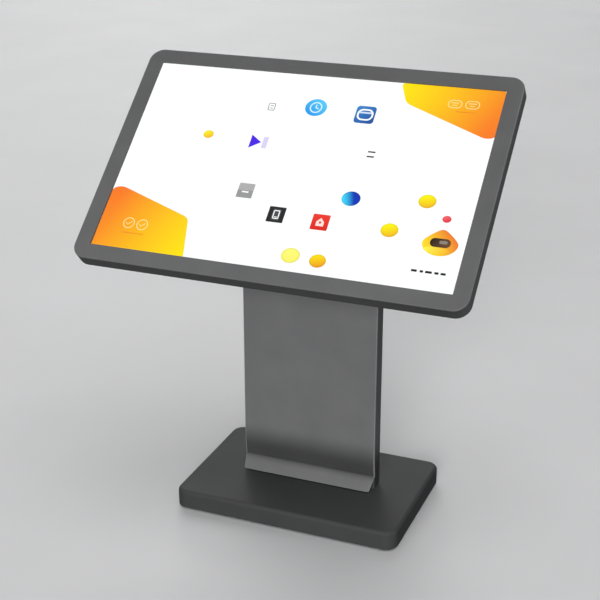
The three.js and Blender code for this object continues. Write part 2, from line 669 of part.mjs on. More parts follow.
function fanRotor() {
  const [low, high] = [FAN_FRONT + 3, FAN_BACK - 1];
  const bore = rod(1.9, low - 1, FAN_FRONT + 10, "z", [0, 0], 16);
  const hub = cut(rod(FAN.hub, low, high, "z", [0, 0], 28), bore);
  const pitch = THREE.MathUtils.degToRad(38);
  const blade = new THREE.BoxGeometry(FAN.blade - FAN.hub + 2, 1.6, 13)
    .rotateX(pitch)
    .translate((FAN.blade + FAN.hub - 2) / 2, 0, (low + high) / 2);
  const blades = [];
  for (let i = 0; i < FAN.blades; i++) blades.push(blade.clone().rotateZ((2 * Math.PI * i) / FAN.blades));
  return join(hub, ...blades);
}

function buildFan() {
  // Built facing Z, then turned so that Z points to the back of the column.
  const stand = (geometry) => geometry.rotateX(-Math.PI / 2).translate(0, 0, FAN.z);
  add(kiosk, "fan_frame", stand(fanFrame()), plastic);
  add(kiosk, "fan_rotor", stand(fanRotor()), plastic);
}

// ---------------------------------------------------------------- base
function baseCover() {
  const outer = layered(BASE.width, BASE.depth, BASE.corner, [
    [1, BASE.floorGap],
    [0, BASE.floorGap + 1],
    ...roundedEdge(BASE.edge, BASE_TOP, 1, 5),
  ]);
  const hollow = layered(BASE.width - 2 * SHEET, BASE.depth - 2 * SHEET, BASE.corner - SHEET, [
    [0, BASE.floorGap - 1],
    ...roundedEdge(BASE.edge - SHEET, BASE_TOP - SHEET, 1, 5),
  ]);
  const shell = cut(outer, hollow).translate(0, BASE.centreY, 0);
  const postSlot = block([-188, POST.y - 17, BASE_TOP - SHEET - 1], [188, POST.y + 17, BASE_TOP + 1]);
  return cut(shell, postSlot);
}

function footPlaces() {
  const places = [];
  for (const y of [-FOOT.y, FOOT.y]) for (const x of [-FOOT.x, FOOT.x]) places.push([x, BASE.centreY + y]);
  return places;
}

function basePlate() {
  const margin = SHEET + GAP;
  const width = BASE.width - 2 * margin;
  const depth = BASE.depth - 2 * margin;
  const plate = slab(width, depth, BASE.corner - margin, BASE_PLATE.low, PLATE_TOP, 0, BASE.centreY);
  const through = [BASE_PLATE.low - 1, PLATE_TOP + 1];
  const holes = footPlaces().map((place) => rod(FOOT.hole, ...through, "z", place, 20));
  return cut(plate, ...holes);
}

function levellingFoot(place) {
  const pad = rod(FOOT.pad, 0, FOOT.padThick, "z", place, 28);
  return join(pad, rod(FOOT.stud, FOOT.padThick - 1, FOOT.studTop, "z", place, 20));
}

function footNut(place) {
  const low = PLATE_TOP + GAP;
  const nut = rod(FOOT_NUT.radius, low, low + FOOT_NUT.height, "z", place, 6);
  return cut(nut, rod(FOOT.hole, low - 1, low + FOOT_NUT.height + 1, "z", place, 20));
}

function entryPlate() {
  const half = ENTRY.width / 2;
  const [inner, outer] = [COLUMN_BACK + GAP, ENTRY_FACE];
  const plate = block([ENTRY.x - half, inner, ENTRY.low], [ENTRY.x + half, outer, ENTRY.high]);
  const opening = (x, z, width, height) =>
    block([x - width / 2, inner - 1, z - height / 2], [x + width / 2, outer + 1, z + height / 2]);
  const inletHole = opening(INLET.x, INLET.z, INLET.width + 0.8, INLET.height + 0.8);
  const switchHole = opening(ROCKER.x, ROCKER.z, ROCKER.bodyWidth + 1, ROCKER.bodyHeight + 1);
  return cut(plate, inletHole, switchHole);
}

// An appliance inlet in the entry plate: flange outside, body inside, a socket open to the back.
function powerInlet() {
  const flange = slab(INLET.flangeWidth, INLET.flangeHeight, 4, 0, 2.5, 0, 0, 3);
  const body = slab(INLET.width, INLET.height, 2, -INLET.depth, 1, 0, 0, 2);
  const socket = slab(SOCKET.width, SOCKET.height, 2, -SOCKET.depth, 4, 0, 0, 2);
  const pins = [
    [-7, -1.5],
    [7, -1.5],
    [0, 2.5],
  ].map(([x, z]) => block([x - 1, z - 2, -SOCKET.depth - 1], [x + 1, z + 2, 0]));
  const built = join(cut(join(flange, body), socket), ...pins);
  // Drawn facing Z; turned to face +Y with its top up.
  return built.rotateX(-Math.PI / 2).rotateY(Math.PI).translate(INLET.x, ENTRY_FACE + GAP, INLET.z);
}

function switchHousing() {
  const flange = slab(24, 26, 3, 0, 2, 0, 0, 2);
  const body = slab(ROCKER.bodyWidth, ROCKER.bodyHeight, 1, -16, 1, 0, 0, 2);
  const well = block([-6.4, -8, -12], [6.4, 8, 3]);
  const housing = cut(join(flange, body), well).rotateX(-Math.PI / 2);
  return housing.translate(ROCKER.x, ENTRY_FACE + GAP, ROCKER.z);
}

// The rocker's side outline, drawn level, then tipped to its off position about the pivot.
function powerRocker() {
  const half = ROCKER.width / 2;
  const shape = new THREE.Shape();
  shape.moveTo(-7, -4);
  shape.lineTo(4, -6.9);
  shape.lineTo(2.6, 0);
  shape.lineTo(4, 6.9);
  shape.lineTo(-7, 4);
  const body = new THREE.ExtrudeGeometry(shape, { depth: ROCKER.width, bevelEnabled: false });
  // The drawing's X points out of the entry plate and its Y up; its Z becomes the width.
  body.translate(0, 0, -half);
  body.rotateX(Math.PI / 2).rotateZ(Math.PI / 2);
  body.rotateX(THREE.MathUtils.degToRad(-ROCKER.throwDeg / 2));
  return body.translate(ROCKER.x, ENTRY_FACE - 1, ROCKER.z);
}

function buildBase() {
  add(kiosk, "base_cover", baseCover(), darkPaint);
  add(kiosk, "base_plate", basePlate(), steel);
  const flangeLow = PLATE_TOP + GAP;
  const flange = slab(FLANGE.width, FLANGE.depth, 6, flangeLow, FLANGE_TOP, 0, POST.y, 3);
  add(kiosk, "column_foot_flange", flange, steel);
  const ballast = (depth, y) =>
    slab(BALLAST.width, depth, BALLAST.corner, PLATE_TOP + GAP, PLATE_TOP + GAP + BALLAST.thick, 0, y, 2);
  add(kiosk, "ballast_front", ballast(150, -36), steel);
  add(kiosk, "ballast_rear", ballast(90, 176), steel);
  footPlaces().forEach((place, i) => {
    add(kiosk, `levelling_foot_${i + 1}`, levellingFoot(place), rubber);
    add(kiosk, `foot_nut_${i + 1}`, footNut(place), zinc);
  });
  add(kiosk, "entry_plate", entryPlate(), paint);
  add(kiosk, "power_inlet", powerInlet(), plastic);
  add(kiosk, "switch_housing", switchHousing(), plastic);
  add(kiosk, "power_rocker", powerRocker(), plastic);
}

// ---------------------------------------------------------------- inside cables
function cable(points, radius, steps) {
  const section = new THREE.Shape();
  for (let i = 0; i < 8; i++) {
    const angle = (Math.PI / 4) * i;
    const [x, y] = [radius * Math.cos(angle), radius * Math.sin(angle)];
    if (i === 0) section.moveTo(x, y);
    else section.lineTo(x, y);
  }
  const extrudePath = new THREE.CatmullRomCurve3(points.map((point) => new THREE.Vector3(...point)));
  return new THREE.ExtrudeGeometry(section, { steps, extrudePath, bevelEnabled: false });
}

function buildCables() {
  const mains = [
    [INLET.x + 6, COLUMN_BACK - 14, INLET.z + INLET.height / 2 + 1.5],
    [INLET.x + 8, COLUMN_BACK - 12, 130],
    [INLET.x + 4, COLUMN_BACK - 9, 190],
    [INLET.x - 8, COLUMN_BACK - 12, 235],
    [44, 82, 268],
  ];
  add(kiosk, "mains_cable", cable(mains, 3.5, 20), rubber);
  const onHead = (x, y, z) => new THREE.Vector3(x, y, z).applyMatrix4(head.matrixWorld).toArray();
  const display = [
    [-60, 82, 672],
    [-58, 84, 690],
    [-52, 95, 760],
    [-50, 97, 860],
    [-44, 96, 930],
    onHead(CABLE_HOLE.x, CABLE_HOLE.v, -60),
    onHead(CABLE_HOLE.x, CABLE_HOLE.v, -42),
    onHead(-56, 112, -33),
    onHead(-92, 92, -31.5),
  ];
  add(kiosk, "display_cable", cable(display, 3, 30), rubber);
}

buildHead();
buildBracket();
buildColumn();
buildDoor();
buildFan();
buildBase();
buildCables();

export default kiosk;
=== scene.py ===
"""A touchscreen kiosk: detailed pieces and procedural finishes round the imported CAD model."""

import json
from math import atan2, copysign, cos, hypot, pi, radians, sin
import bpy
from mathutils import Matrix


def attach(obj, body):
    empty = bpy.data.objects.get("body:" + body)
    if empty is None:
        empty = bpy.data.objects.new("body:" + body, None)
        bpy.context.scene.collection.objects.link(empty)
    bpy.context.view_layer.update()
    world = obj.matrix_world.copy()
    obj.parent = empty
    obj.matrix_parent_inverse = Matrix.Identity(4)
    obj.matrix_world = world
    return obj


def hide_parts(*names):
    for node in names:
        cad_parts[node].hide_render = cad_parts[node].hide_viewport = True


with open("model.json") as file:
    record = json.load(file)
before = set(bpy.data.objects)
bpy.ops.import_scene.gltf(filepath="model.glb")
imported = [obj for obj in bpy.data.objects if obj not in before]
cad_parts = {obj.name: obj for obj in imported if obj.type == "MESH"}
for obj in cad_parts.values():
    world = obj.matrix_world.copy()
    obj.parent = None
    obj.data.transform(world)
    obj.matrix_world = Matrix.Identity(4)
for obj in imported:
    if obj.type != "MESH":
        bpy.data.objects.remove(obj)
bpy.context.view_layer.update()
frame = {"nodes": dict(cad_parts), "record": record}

from types import SimpleNamespace as Sizes

import bmesh
import bpy
from mathutils import Matrix, Vector
from mathutils.geometry import delaunay_2d_cdt


# --- sizes, in millimetres as in the CAD
GAP = 0.3
SHEET = 2
MILLIMETRE = 0.001
SHARP_ANGLE = radians(38)

BASE = Sizes(width=635, depth=419, low=5, top=56, corner=34, edge=10, y=69)
COLUMN = Sizes(width=385, front=59.9, back=105.4, bend=3, foot=56.3)
LIP = Sizes(crease=93, recess=6, top=174, bottom=58.8, reach=31.8, taper=7, round=9, thick=3)

HEAD = Sizes(width=1026, height=654, thick=41.7, corner=38, edge=3, y=-35.3, z=975.8, lean=41.6)
WINDOW = Sizes(width=941, height=570.4, corner=2)
BEZEL = Sizes(face=3, skirt=2.5, seam=22, lip=3, lip_depth=5.7)
COVER = Sizes(sheet=1.5, edge=6, vent_x=290, vent_y=235, screw_inset=13)
SPEAKER_X = 360
IO = Sizes(width=170, height=34, v=-262, sheet=1.5)
BRACKET = Sizes(width=340, height=220, v=120, corner=12, front=42, back=46)
BOLTS = [(x, v) for x in (-130, 130) for v in (40, 200)]
BOLT_HOLE = 4.3
BUTTON_X = 70

DOOR = Sizes(half=149, low=250, high=690, fold=10)
HINGE = Sizes(x=-149, y=110, barrel=4, bore=2.3, pin=1.9, leaf=20, thick=1.5, knuckle=16)
HINGE_HEIGHTS = dict(lower=310, upper=630)
LOCK = Sizes(x=125, z=470, barrel=8.7, flange=11, plug=5.6, bore=6, inner=99.4)
ENTRY = Sizes(x=40, width=128, low=60, high=132, overlap=5)
ENTRY_FACE = COLUMN.back + GAP + SHEET
INLET = Sizes(x=60, z=96, width=28, height=21, depth=24)
ROCKER = Sizes(x=18, z=96, width=12, throw=16, body_width=16, body_height=19)
BOX_FRONT = 66.3
COMPUTER = Sizes(x=-45, z=585, width=190, height=170)
SUPPLY = Sizes(x=40, width=100, low=270, high=470, hood=16)
FAN_Z = 820
FEET = [(x, BASE.y + y) for y in (-165, 165) for x in (-270, 270)]

# --- camera
scene = bpy.context.scene


def place_object(name, data):
    made = bpy.data.objects.new(name, data)
    scene.collection.objects.link(made)
    return made


CAMERA_AT = Vector((1.1709, -2.9117, 1.8608))
LOOK_AT = Vector((-0.0295, 0.0691, 0.5814))
LENS = 77.9

camera = place_object("camera", bpy.data.cameras.new("camera"))
camera.data.lens = LENS
camera.location = CAMERA_AT
camera.rotation_euler = (LOOK_AT - CAMERA_AT).to_track_quat("-Z", "Y").to_euler()
scene.camera = camera

# --- places: where a drawing's X, Y and Z lie
UPRIGHT = Matrix.Identity(4)
ON_HEAD = Matrix.Translation((0, HEAD.y, HEAD.z)) @ Matrix.Rotation(radians(HEAD.lean), 4, "X")
# Drawings of upright sheets: X across, Y up, Z towards the back of the kiosk.
ON_BACK = Matrix(((1, 0, 0, 0), (0, 0, 1, 0), (0, 1, 0, 0), (0, 0, 0, 1)))
# Drawings on the rear of the head: Z out of the rear cover's back face.
ON_HEAD_REAR = ON_HEAD @ Matrix.Translation((0, 0, -HEAD.thick)) @ Matrix.Scale(-1, 4, (0, 0, 1))


def under_head(y):
    """The height at which an upright face at y meets the slanted underside of the bracket."""
    lean = radians(HEAD.lean)
    depth = -BRACKET.back - GAP + sin(lean) * (y - HEAD.y)
    return HEAD.z + depth / cos(lean)


# --- outlines: lists of (x, y), anticlockwise
def rounded(width, height, corner, x=0, y=0, steps=8):
    points = []
    for quarter, (sx, sy) in enumerate(((1, 1), (-1, 1), (-1, -1), (1, -1))):
        for i in range(steps + 1):
            angle = pi / 2 * (quarter + i / steps)
            across = sx * (width / 2 - corner) + corner * cos(angle)
            up = sy * (height / 2 - corner) + corner * sin(angle)
            points.append((x + across, y + up))
    return points


def slot_rows(x, y, length, width, rows, pitch):
    """Level slots one above the other, with round ends; the middle of them all is at x, y."""
    heights = [y + (i - (rows - 1) / 2) * pitch for i in range(rows)]
    return [rounded(length, width, width / 2 - 0.005, x, height, 5) for height in heights]


def circle(radius, x=0, y=0, steps=32):
    angles = [2 * pi * i / steps for i in range(steps)]
    return [(x + radius * cos(a), y + radius * sin(a)) for a in angles]


def box_outline(x0, x1, y0, y1):
    return [(x0, y0), (x1, y0), (x1, y1), (x0, y1)]


def neighbours(points):
    """Each point of an outline, between the one before it and the one after it."""
    vectors = [Vector(point) for point in points]
    return zip(vectors[-1:] + vectors[:-1], vectors, vectors[1:] + vectors[:1])


def grown(points, outset):
    """The outline with each side moved out by outset, or in if it is negative."""
    if not outset:
        return list(points)
    moved = []
    for before, here, after in neighbours(points):
        a, b = (here - before).normalized(), (after - here).normalized()
        na, nb = Vector((a.y, -a.x)), Vector((b.y, -b.x))
        moved.append(tuple(here + (na + nb) * outset / (1 + na.dot(nb))))
    return moved


def with_round_corners(corners, radius, steps=6):
    """An outline through the corners, each rounded by a quadratic curve that starts radius before it."""
    points = []
    for before, corner, after in neighbours(corners):
        sides = [before - corner, after - corner]
        start, end = [corner + side.normalized() * min(radius, side.length * 0.45) for side in sides]
        for k in range(steps + 1):
            t = k / steps
            points.append(tuple(start * (1 - t) ** 2 + corner * 2 * t * (1 - t) + end * t * t))
    return points


def edge(radius, z, rise=1, steps=6, outset=0.0):
    """Steps (outset, z) of an edge rounded up to a face at z, or down to it for rise -1."""
    angles = [pi / 2 * i / steps for i in range(steps + 1)]
    return [(outset - radius * (1 - cos(a)), z - rise * radius * (1 - sin(a))) for a in angles]


def slab_profile(low, high, bevel=0.4, steps=2):
    return edge(bevel, low, -1, steps)[::-1] + edge(bevel, high, 1, steps)


def chamfered(low, high, inset):
    """Steps from low to a face at high whose edge is cut back by inset, negative for a hole."""
    return [(0, low), (0, high - copysign(inset, high - low)), (-inset, high)]


def hole_profile(low, high):
    return chamfered(low, high, -0.3)


def sheet_profile(low, high):
    """A sheet with a softened outer edge at high."""
    return [(0, low), (0, high - 0.5), (-0.15, high - 0.15), (-0.5, high)]


def inside(x, y, outline):
    found = False
    for (x0, y0), (x1, y1) in zip(outline, outline[1:] + outline[:1]):
        if (y0 > y) != (y1 > y) and x < x0 + (y - y0) * (x1 - x0) / (y1 - y0):
            found = not found
    return found


# --- forms
class Form:
    """The faces of one piece, drawn in millimetres in the current place; mark picks a face's finish."""

    def __init__(self, place=UPRIGHT):
        self.place = place
        self.flat, self.points, self.faces, self.marks, self.colours = [], [], [], [], []

    def loop(self, outline, z, colour=None):
        start = len(self.points)
        for x, y in outline:
            self.flat.append((x, y))
            self.points.append(self.place @ Vector((x, y, z(x, y) if callable(z) else z)))
            self.colours.append(colour(x, y) if callable(colour) else colour)
        return range(start, len(self.points))

    def face(self, corners, mark=0):
        self.faces.append(tuple(corners))
        self.marks.append(mark)

    def walls(self, loops, mark=0):
        for low, high in zip(loops, loops[1:]):
            for i in range(len(low)):
                k = (i + 1) % len(low)
                self.face((low[i], low[k], high[k], high[i]), mark)

    def skin(self, loops):
        """Walls from loop to loop, and a flat face on the first and the last."""
        self.walls(loops)
        self.cap(loops[:1])
        self.cap(loops[-1:])

    def cap(self, loops, mark=0):
        """A flat face inside the first loop and outside the others."""
        if len(loops) == 1 and len(loops[0]) < 5:
            self.face(loops[0], mark)
            return
        ids = [i for loop in loops for i in loop]
        sides, start = [], 0
        for loop in loops:
            sides += [(start + i, start + (i + 1) % len(loop)) for i in range(len(loop))]
            start += len(loop)
        made = delaunay_2d_cdt([Vector(self.flat[i]) for i in ids], sides, [], 1, 1e-7)
        points, _, faces, origins, *_ = made
        holes = [[self.flat[i] for i in loop] for loop in loops[1:]]
        for face in faces:
            middle = sum((points[i] for i in face), Vector((0, 0))) / len(face)
            if not any(inside(*middle, hole) for hole in holes):
                self.face([ids[origins[i][0]] for i in face], mark)

    def plate(self, outline, profile, holes=(), pits=(), mark=0, colour=None):
        """A closed plate whose outline follows profile, steps (outset, z) from face to face.
        holes and pits are (outline, steps); a pit's steps run from its floor to the last face."""
        first, last = [], []
        for points, steps in ((outline, profile), *holes, *pits):
            loops = [self.loop(grown(points, outset), z, colour) for outset, z in steps]
            self.walls(loops, mark)
            last.append(loops[-1])
            if (points, steps) in pits:
                self.cap([loops[0]], mark)
            else:
                first.append(loops[0])
        self.cap(first, mark)
        self.cap(last, mark)

    def turned(self, profile, x=0, y=0, steps=32, mark=0, bore=0.0, hexagon=0.0, depth=0.0):
        """A turned solid of (radius, z) steps, with a bore, or with a hexagonal pit in its last face."""
        loops = [self.loop(circle(radius, x, y, steps), z) for radius, z in profile]
        self.walls(loops, mark)
        first, last = [loops[0]], [loops[-1]]
        low, high = profile[0][1], profile[-1][1]
        if bore or hexagon:
            outline = circle(bore, x, y, steps) if bore else circle(hexagon, x, y, 6)
            floor = low if bore else high - copysign(depth, high - low)
            inner = [self.loop(outline, z) for z in (floor, high)]
            self.walls(inner, mark)
            last.append(inner[1])
            if bore:
                first.append(inner[0])
            else:
                self.cap([inner[0]], mark)
        self.cap(first, mark)
        self.cap(last, mark)

    def mark_by_depth(self, mark, test):
        """Marks every face whose corners' depths, measured in the current place, pass the test."""
        back = self.place.inverted()
        for i, face in enumerate(self.faces):
            if test([(back @ self.points[k]).z for k in face]):
                self.marks[i] = mark

    def block(self, x, y, width, height, low, high, bevel=0.4, mark=0):
        """A box with softened edges: its middle and size in the drawing, and its lowest and highest Z."""
        outline = box_outline(x - width / 2, x + width / 2, y - height / 2, y + height / 2)
        bevel = min(bevel, width / 3, height / 3, (high - low) / 3)
        self.plate(with_round_corners(outline, bevel, 2), slab_profile(low, high, bevel, 1), mark=mark)


def mesh_of(form, name):
    mesh = bpy.data.meshes.new(name)
    made = bmesh.new()
    corners = [made.verts.new(point * MILLIMETRE) for point in form.points]
    for ids, mark in zip(form.faces, form.marks):
        face = made.faces.new([corners[i] for i in ids])
        face.material_index = mark
        face.smooth = True
    bmesh.ops.recalc_face_normals(made, faces=made.faces)
    made.to_mesh(mesh)
    made.free()
    if any(form.colours):
        layer = mesh.color_attributes.new("paint", "FLOAT_COLOR", "POINT")
        for i, colour in enumerate(form.colours):
            layer.data[i].color = (*colour, 1)
    mesh.set_sharp_from_angle(angle=SHARP_ANGLE)
    return mesh


def show(mesh, name, finishes, node="", slot="", body="stand"):
    """Puts a mesh in the scene as one piece that rides on a body and, if a node is named, stands for it.
    The slot argument is not used."""
    for finish in finishes:
        mesh.materials.append(FINISHES[finish])
    made = place_object(name, mesh)
    made.modifiers.new("weighted normals", "WEIGHTED_NORMAL").keep_sharp = True
    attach(made, body)
    slot or finishes[0]
    if node:
        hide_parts(node)


def piece(form, name, *rest, **named):
    show(mesh_of(form, name), name, *rest, **named)


# --- materials
def srgb(code):
    """Linear colour of a six-digit web colour."""
    channels = [int(code[i : i + 2], 16) / 255 for i in (0, 2, 4)]
    return tuple(c / 12.92 if c <= 0.04045 else ((c + 0.055) / 1.055) ** 2.4 for c in channels)


def shade(colour, factor):
    return tuple(min(c * factor, 1) for c in colour)


def fill(node, **inputs):
    """Gives a node's inputs their values, or links them from another node's output."""
    for name, value in inputs.items():
        socket = node.inputs[name.replace("_", " ")]
        if isinstance(value, bpy.types.NodeSocket):
            node.id_data.links.new(value, socket)
        else:
            socket.default_value = (*value, 1) if socket.type == "RGBA" else value


def new_node(tree, kind, **inputs):
    made = tree.nodes.new("ShaderNode" + kind)
    fill(made, **inputs)
    return made


FINISHES = {}


def new_material(name, **inputs):
    """A new finish under its name; returns its node tree and its shader."""
    material = FINISHES[name] = bpy.data.materials.new(name)
    material.use_nodes = True
    shader = material.node_tree.nodes["Principled BSDF"]
    fill(shader, **inputs)
    return material.node_tree, shader


def coordinate(tree, kind):
    """Object is the place in metres, Normal the way a face looks."""
    return new_node(tree, "TexCoord").outputs[kind]


def axis_of(tree, kind, axis):
    return new_node(tree, "SeparateXYZ", Vector=coordinate(tree, kind)).outputs[axis]


def noise(tree, scale, detail, stretch=(1, 1, 1)):
    """A noise value in object space; scale counts its features per metre."""
    mapped = new_node(tree, "Mapping", Vector=coordinate(tree, "Object"), Scale=stretch).outputs["Vector"]
    return new_node(tree, "TexNoise", Vector=mapped, Scale=scale, Detail=detail).outputs["Fac"]


def ramp(value, *stops):
    """Colours along a value: stops are (position, colour), where a number is a grey."""
    node = new_node(value.id_data, "ValToRGB", Fac=value)
    elements = node.color_ramp.elements
    while len(elements) < len(stops):
        elements.new(0.5)
    for element, (position, colour) in zip(elements, stops):
        element.position = position
        element.color = (*(colour if isinstance(colour, tuple) else [colour] * 3), 1)
    return node.outputs["Color"]


def multiply(first, second):
    """The product of two colours."""
    node = new_node(first.id_data, "Mix", Factor=1)
    node.data_type, node.blend_type = "RGBA", "MULTIPLY"
    colours = [socket for socket in node.inputs if socket.type == "RGBA"]
    for source, target in zip((first, second), colours):
        node.id_data.links.new(source, target)
    return next(socket for socket in node.outputs if socket.type == "RGBA")


def spread(value, low, high, start=0.3, end=0.7):
    """The value's middle range spread from low to high."""
    ends = dict(From_Min=start, From_Max=end, To_Min=low, To_Max=high)
    return new_node(value.id_data, "MapRange", Value=value, **ends).outputs["Result"]


def bump(height, distance, strength=1.0):
    node = new_node(height.id_data, "Bump", Height=height, Distance=distance, Strength=strength)
    return node.outputs["Normal"]


def height_shade(tree, stops):
    """Painted light and shade along the height of the kiosk: stops are (metres, factor)."""
    low, high = stops[0][0], stops[-1][0]
    along_height = spread(axis_of(tree, "Object", "Z"), 0, 1, low, high)
    return ramp(along_height, *[((z - low) / (high - low), factor) for z, factor in stops])


def side_shade(tree, factor):
    """Painted light (a factor above 1) or painted shade (below 1) where a face looks to the left or the
    right, and 1 elsewhere.
    """
    sideways = new_node(tree, "Math", Value=axis_of(tree, "Normal", "X"))
    sideways.operation = "ABSOLUTE"
    return ramp(sideways.outputs["Value"], (0.4, 1), (0.95, factor))


def powder_coat(name, colour, roughness=0.56, gloss=0.35, sides=None, heights=None):
    """Sprayed and baked powder: a fine orange peel, faint patches, and a scatter of paler specks.
    sides is a factor of painted light or shade for the faces to the left and right, heights are stops of
    painted light and shade for height_shade."""
    tree, shader = new_material(name, Specular_IOR_Level=gloss)
    patches, grain = noise(tree, 9, 3), noise(tree, 900, 2)
    base = ramp(patches, (0.35, shade(colour, 0.95)), (0.65, shade(colour, 1.05)))
    base = multiply(base, ramp(grain, (0.35, 0.93), (0.62, 1), (0.75, 1.1)))
    if sides:
        base = multiply(base, side_shade(tree, sides))
    if heights:
        base = multiply(base, height_shade(tree, heights))
    rough = spread(patches, roughness - 0.04, roughness + 0.05)
    fill(shader, Base_Color=base, Roughness=rough, Normal=bump(grain, 0.00006))


def metal(name, colour, roughness, brushed=None, relief=0.00002):
    """Plated or brushed metal: brushed stretches the grain along an axis, otherwise it is cloudy."""
    tree, shader = new_material(name, Metallic=1.0)
    grain = noise(tree, 1500, 2, brushed) if brushed else noise(tree, 60, 4)
    base = ramp(noise(tree, 25, 3), (0.3, shade(colour, 0.86)), (0.7, shade(colour, 1.05)))
    rough = spread(grain, roughness - 0.08, roughness + 0.1)
    fill(shader, Base_Color=base, Roughness=rough, Normal=bump(grain, relief))


def moulded(name, colour, roughness, scale=700, relief=0.00004, coat=0.0):
    """Moulded plastic or rubber with a fine pebbled grain."""
    tree, shader = new_material(name, Coat_Weight=coat, Coat_Roughness=0.08)
    grain = noise(tree, scale, 3)
    base = ramp(noise(tree, 20, 2), (0.35, shade(colour, 0.85)), (0.65, shade(colour, 1.2)))
    rough = spread(grain, roughness - 0.06, roughness + 0.06)
    fill(shader, Base_Color=base, Roughness=rough, Normal=bump(grain, relief))


def circuit(name):
    """Green solder mask with a maze of slightly raised copper tracks under it."""
    tree, shader = new_material(name, Roughness=0.35)
    cells = new_node(tree, "TexVoronoi", Vector=coordinate(tree, "Object"), Scale=160)
    cells.feature = "DISTANCE_TO_EDGE"
    relief = cells.outputs["Distance"]
    tracks = ramp(relief, (0.05, srgb("1f6b3c")), (0.12, srgb("0d3f22")))
    fill(shader, Base_Color=tracks, Normal=bump(relief, 0.00005, 0.4))


def lit_picture(name, strength):
    """A backlit picture: its painted colours shine, a touch unevenly."""
    tree, shader = new_material(name, Roughness=0.4, Base_Color=(0, 0, 0), Specular_IOR_Level=0)
    paint = new_node(tree, "Attribute")
    paint.attribute_name = "paint"
    uneven = ramp(noise(tree, 3, 1), (0.3, 0.97), (0.7, 1))
    lit = multiply(paint.outputs["Color"], uneven)
    fill(shader, Emission_Color=lit, Emission_Strength=strength)


def clear_glass(name):
    """Toughened glass with the faintest waviness."""
    tree, shader = new_material(name, Base_Color=(0.97, 0.99, 0.985), Roughness=0.02)
    fill(shader, Transmission_Weight=1.0, IOR=1.5, Normal=bump(noise(tree, 6, 1), 0.00002, 0.5))


def glowing(name, colour, strength):
    tree, shader = new_material(name, Roughness=0.3, Emission_Strength=strength)
    fill(shader, Emission_Color=ramp(noise(tree, 400, 1), (0.3, shade(colour, 0.8)), (0.7, colour)))


HEAD_GREY = (0.118, 0.1185, 0.120)
COVER_GREY = (0.140, 0.141, 0.143)
COLUMN_GREY = (0.178, 0.179, 0.181)
BASE_GREY = (0.061, 0.0615, 0.0625)

# Painted shade: the sheet darkens into the crease over the lip, and the lip is darkest at its root.
CREASE_SHADE = [(0.093, 0.33), (0.12, 0.33), (0.131, 0.37), (0.146, 0.5)]
CREASE_SHADE += [(0.161, 0.67), (0.177, 0.84), (0.19, 0.96), (0.2, 1.0)]
LIP_SHADE = [(0.05, 1.0), (0.078, 1.0), (0.083, 0.92), (0.088, 0.74), (0.093, 0.42), (0.1, 0.42)]

# Painted light towards the foot of the head and painted shade towards its top.
powder_coat("head_paint", HEAD_GREY, 0.6, 0.12, heights=[(0.76, 1.1), (1.19, 0.9)])
# A darker copy of the head's paint: painted shade on the faces that look down and back, with painted
# light on those to the left and right.
powder_coat("skirt_shade_paint", shade(HEAD_GREY, 0.66), sides=1.55)
# A paler copy of the head's paint: a painted highlight on the head's front edge and the window's edge.
powder_coat("rim_highlight_paint", shade(HEAD_GREY, 1.12), 0.5)
powder_coat("cover_paint", COVER_GREY)
# A paler copy of the column's paint: a painted highlight on the column's bends and the lip's ends.
powder_coat("edge_highlight_paint", shade(COLUMN_GREY, 1.35), 0.45)
# Near black: a painted shadow on the lip's edges.
powder_coat("shadow_paint", shade(COLUMN_GREY, 0.02), 0.9, 0.05)
# Painted shade on the column's sides and in the crease over the lip.
powder_coat("column_paint", COLUMN_GREY, sides=0.78, heights=CREASE_SHADE)
powder_coat("lip_shade_paint", COLUMN_GREY, heights=LIP_SHADE)
powder_coat("base_paint", BASE_GREY, 0.66, 0.12)
powder_coat("dark_paint", (0.03, 0.03, 0.032), 0.45)
clear_glass("touch_glass")
moulded("screen_face", (0.05, 0.05, 0.052), 0.3, 300)
lit_picture("picture_light", 1.15)
moulded("black_plastic", (0.02, 0.02, 0.022), 0.55)
moulded("switch_plastic", (0.015, 0.015, 0.016), 0.25, 300, 0.00001, 0.5)
moulded("white_mark", (0.75, 0.75, 0.73), 0.5)
metal("zinc_steel", (0.55, 0.56, 0.58), 0.38)
metal("bare_steel", (0.45, 0.46, 0.48), 0.35, (0.03, 1, 1))
metal("lock_metal", (0.72, 0.73, 0.75), 0.16, relief=0.000004)
metal("button_metal", (0.6, 0.61, 0.62), 0.3, (1, 0.04, 1))
metal("anodised_case", (0.035, 0.035, 0.038), 0.42)
metal("aluminium_case", (0.6, 0.61, 0.62), 0.4, (0.05, 1, 1))
circuit("circuit_board")
moulded("foot_rubber", (0.02, 0.02, 0.02), 0.8, 500, 0.0001)
moulded("cable_sheath", (0.018, 0.018, 0.019), 0.6, 300, 0.00005)
glowing("status_light", srgb("38d46a"), 3.0)

# Each CAD node takes the finish that the record gives it; the pieces below stand for some of them.
for row in frame["record"]["subparts"]:
    for material_slot in frame["nodes"][row["node"]].material_slots:
        material_slot.material = FINISHES[row["material_slot"]]


# --- fasteners
def screw_head(form, x, y, z=0.0, radius=3.2, mark=0):
    """A low domed screw with a hexagonal drive, standing on a face at z."""
    dome = [(radius, z), (radius, z + 0.14 * radius), (0.92 * radius, z + 0.34 * radius)]
    dome += [(0.78 * radius, z + 0.46 * radius), (0.62 * radius, z + 0.52 * radius)]
    form.turned(dome, x, y, 20, mark, hexagon=0.42 * radius, depth=0.34 * radius)


def thread(crest, root, start, pitch, turns):
    """The (radius, z) steps of a thread."""
    places = [start + turn * pitch for turn in range(turns)]
    return [step for z in places for step in ((crest, z), (root, z + pitch / 2))]


# --- head
HEAD_OUTLINE = rounded(HEAD.width, HEAD.height, HEAD.corner, steps=20)
CABLE_HOLE = circle(14, -40, 120)


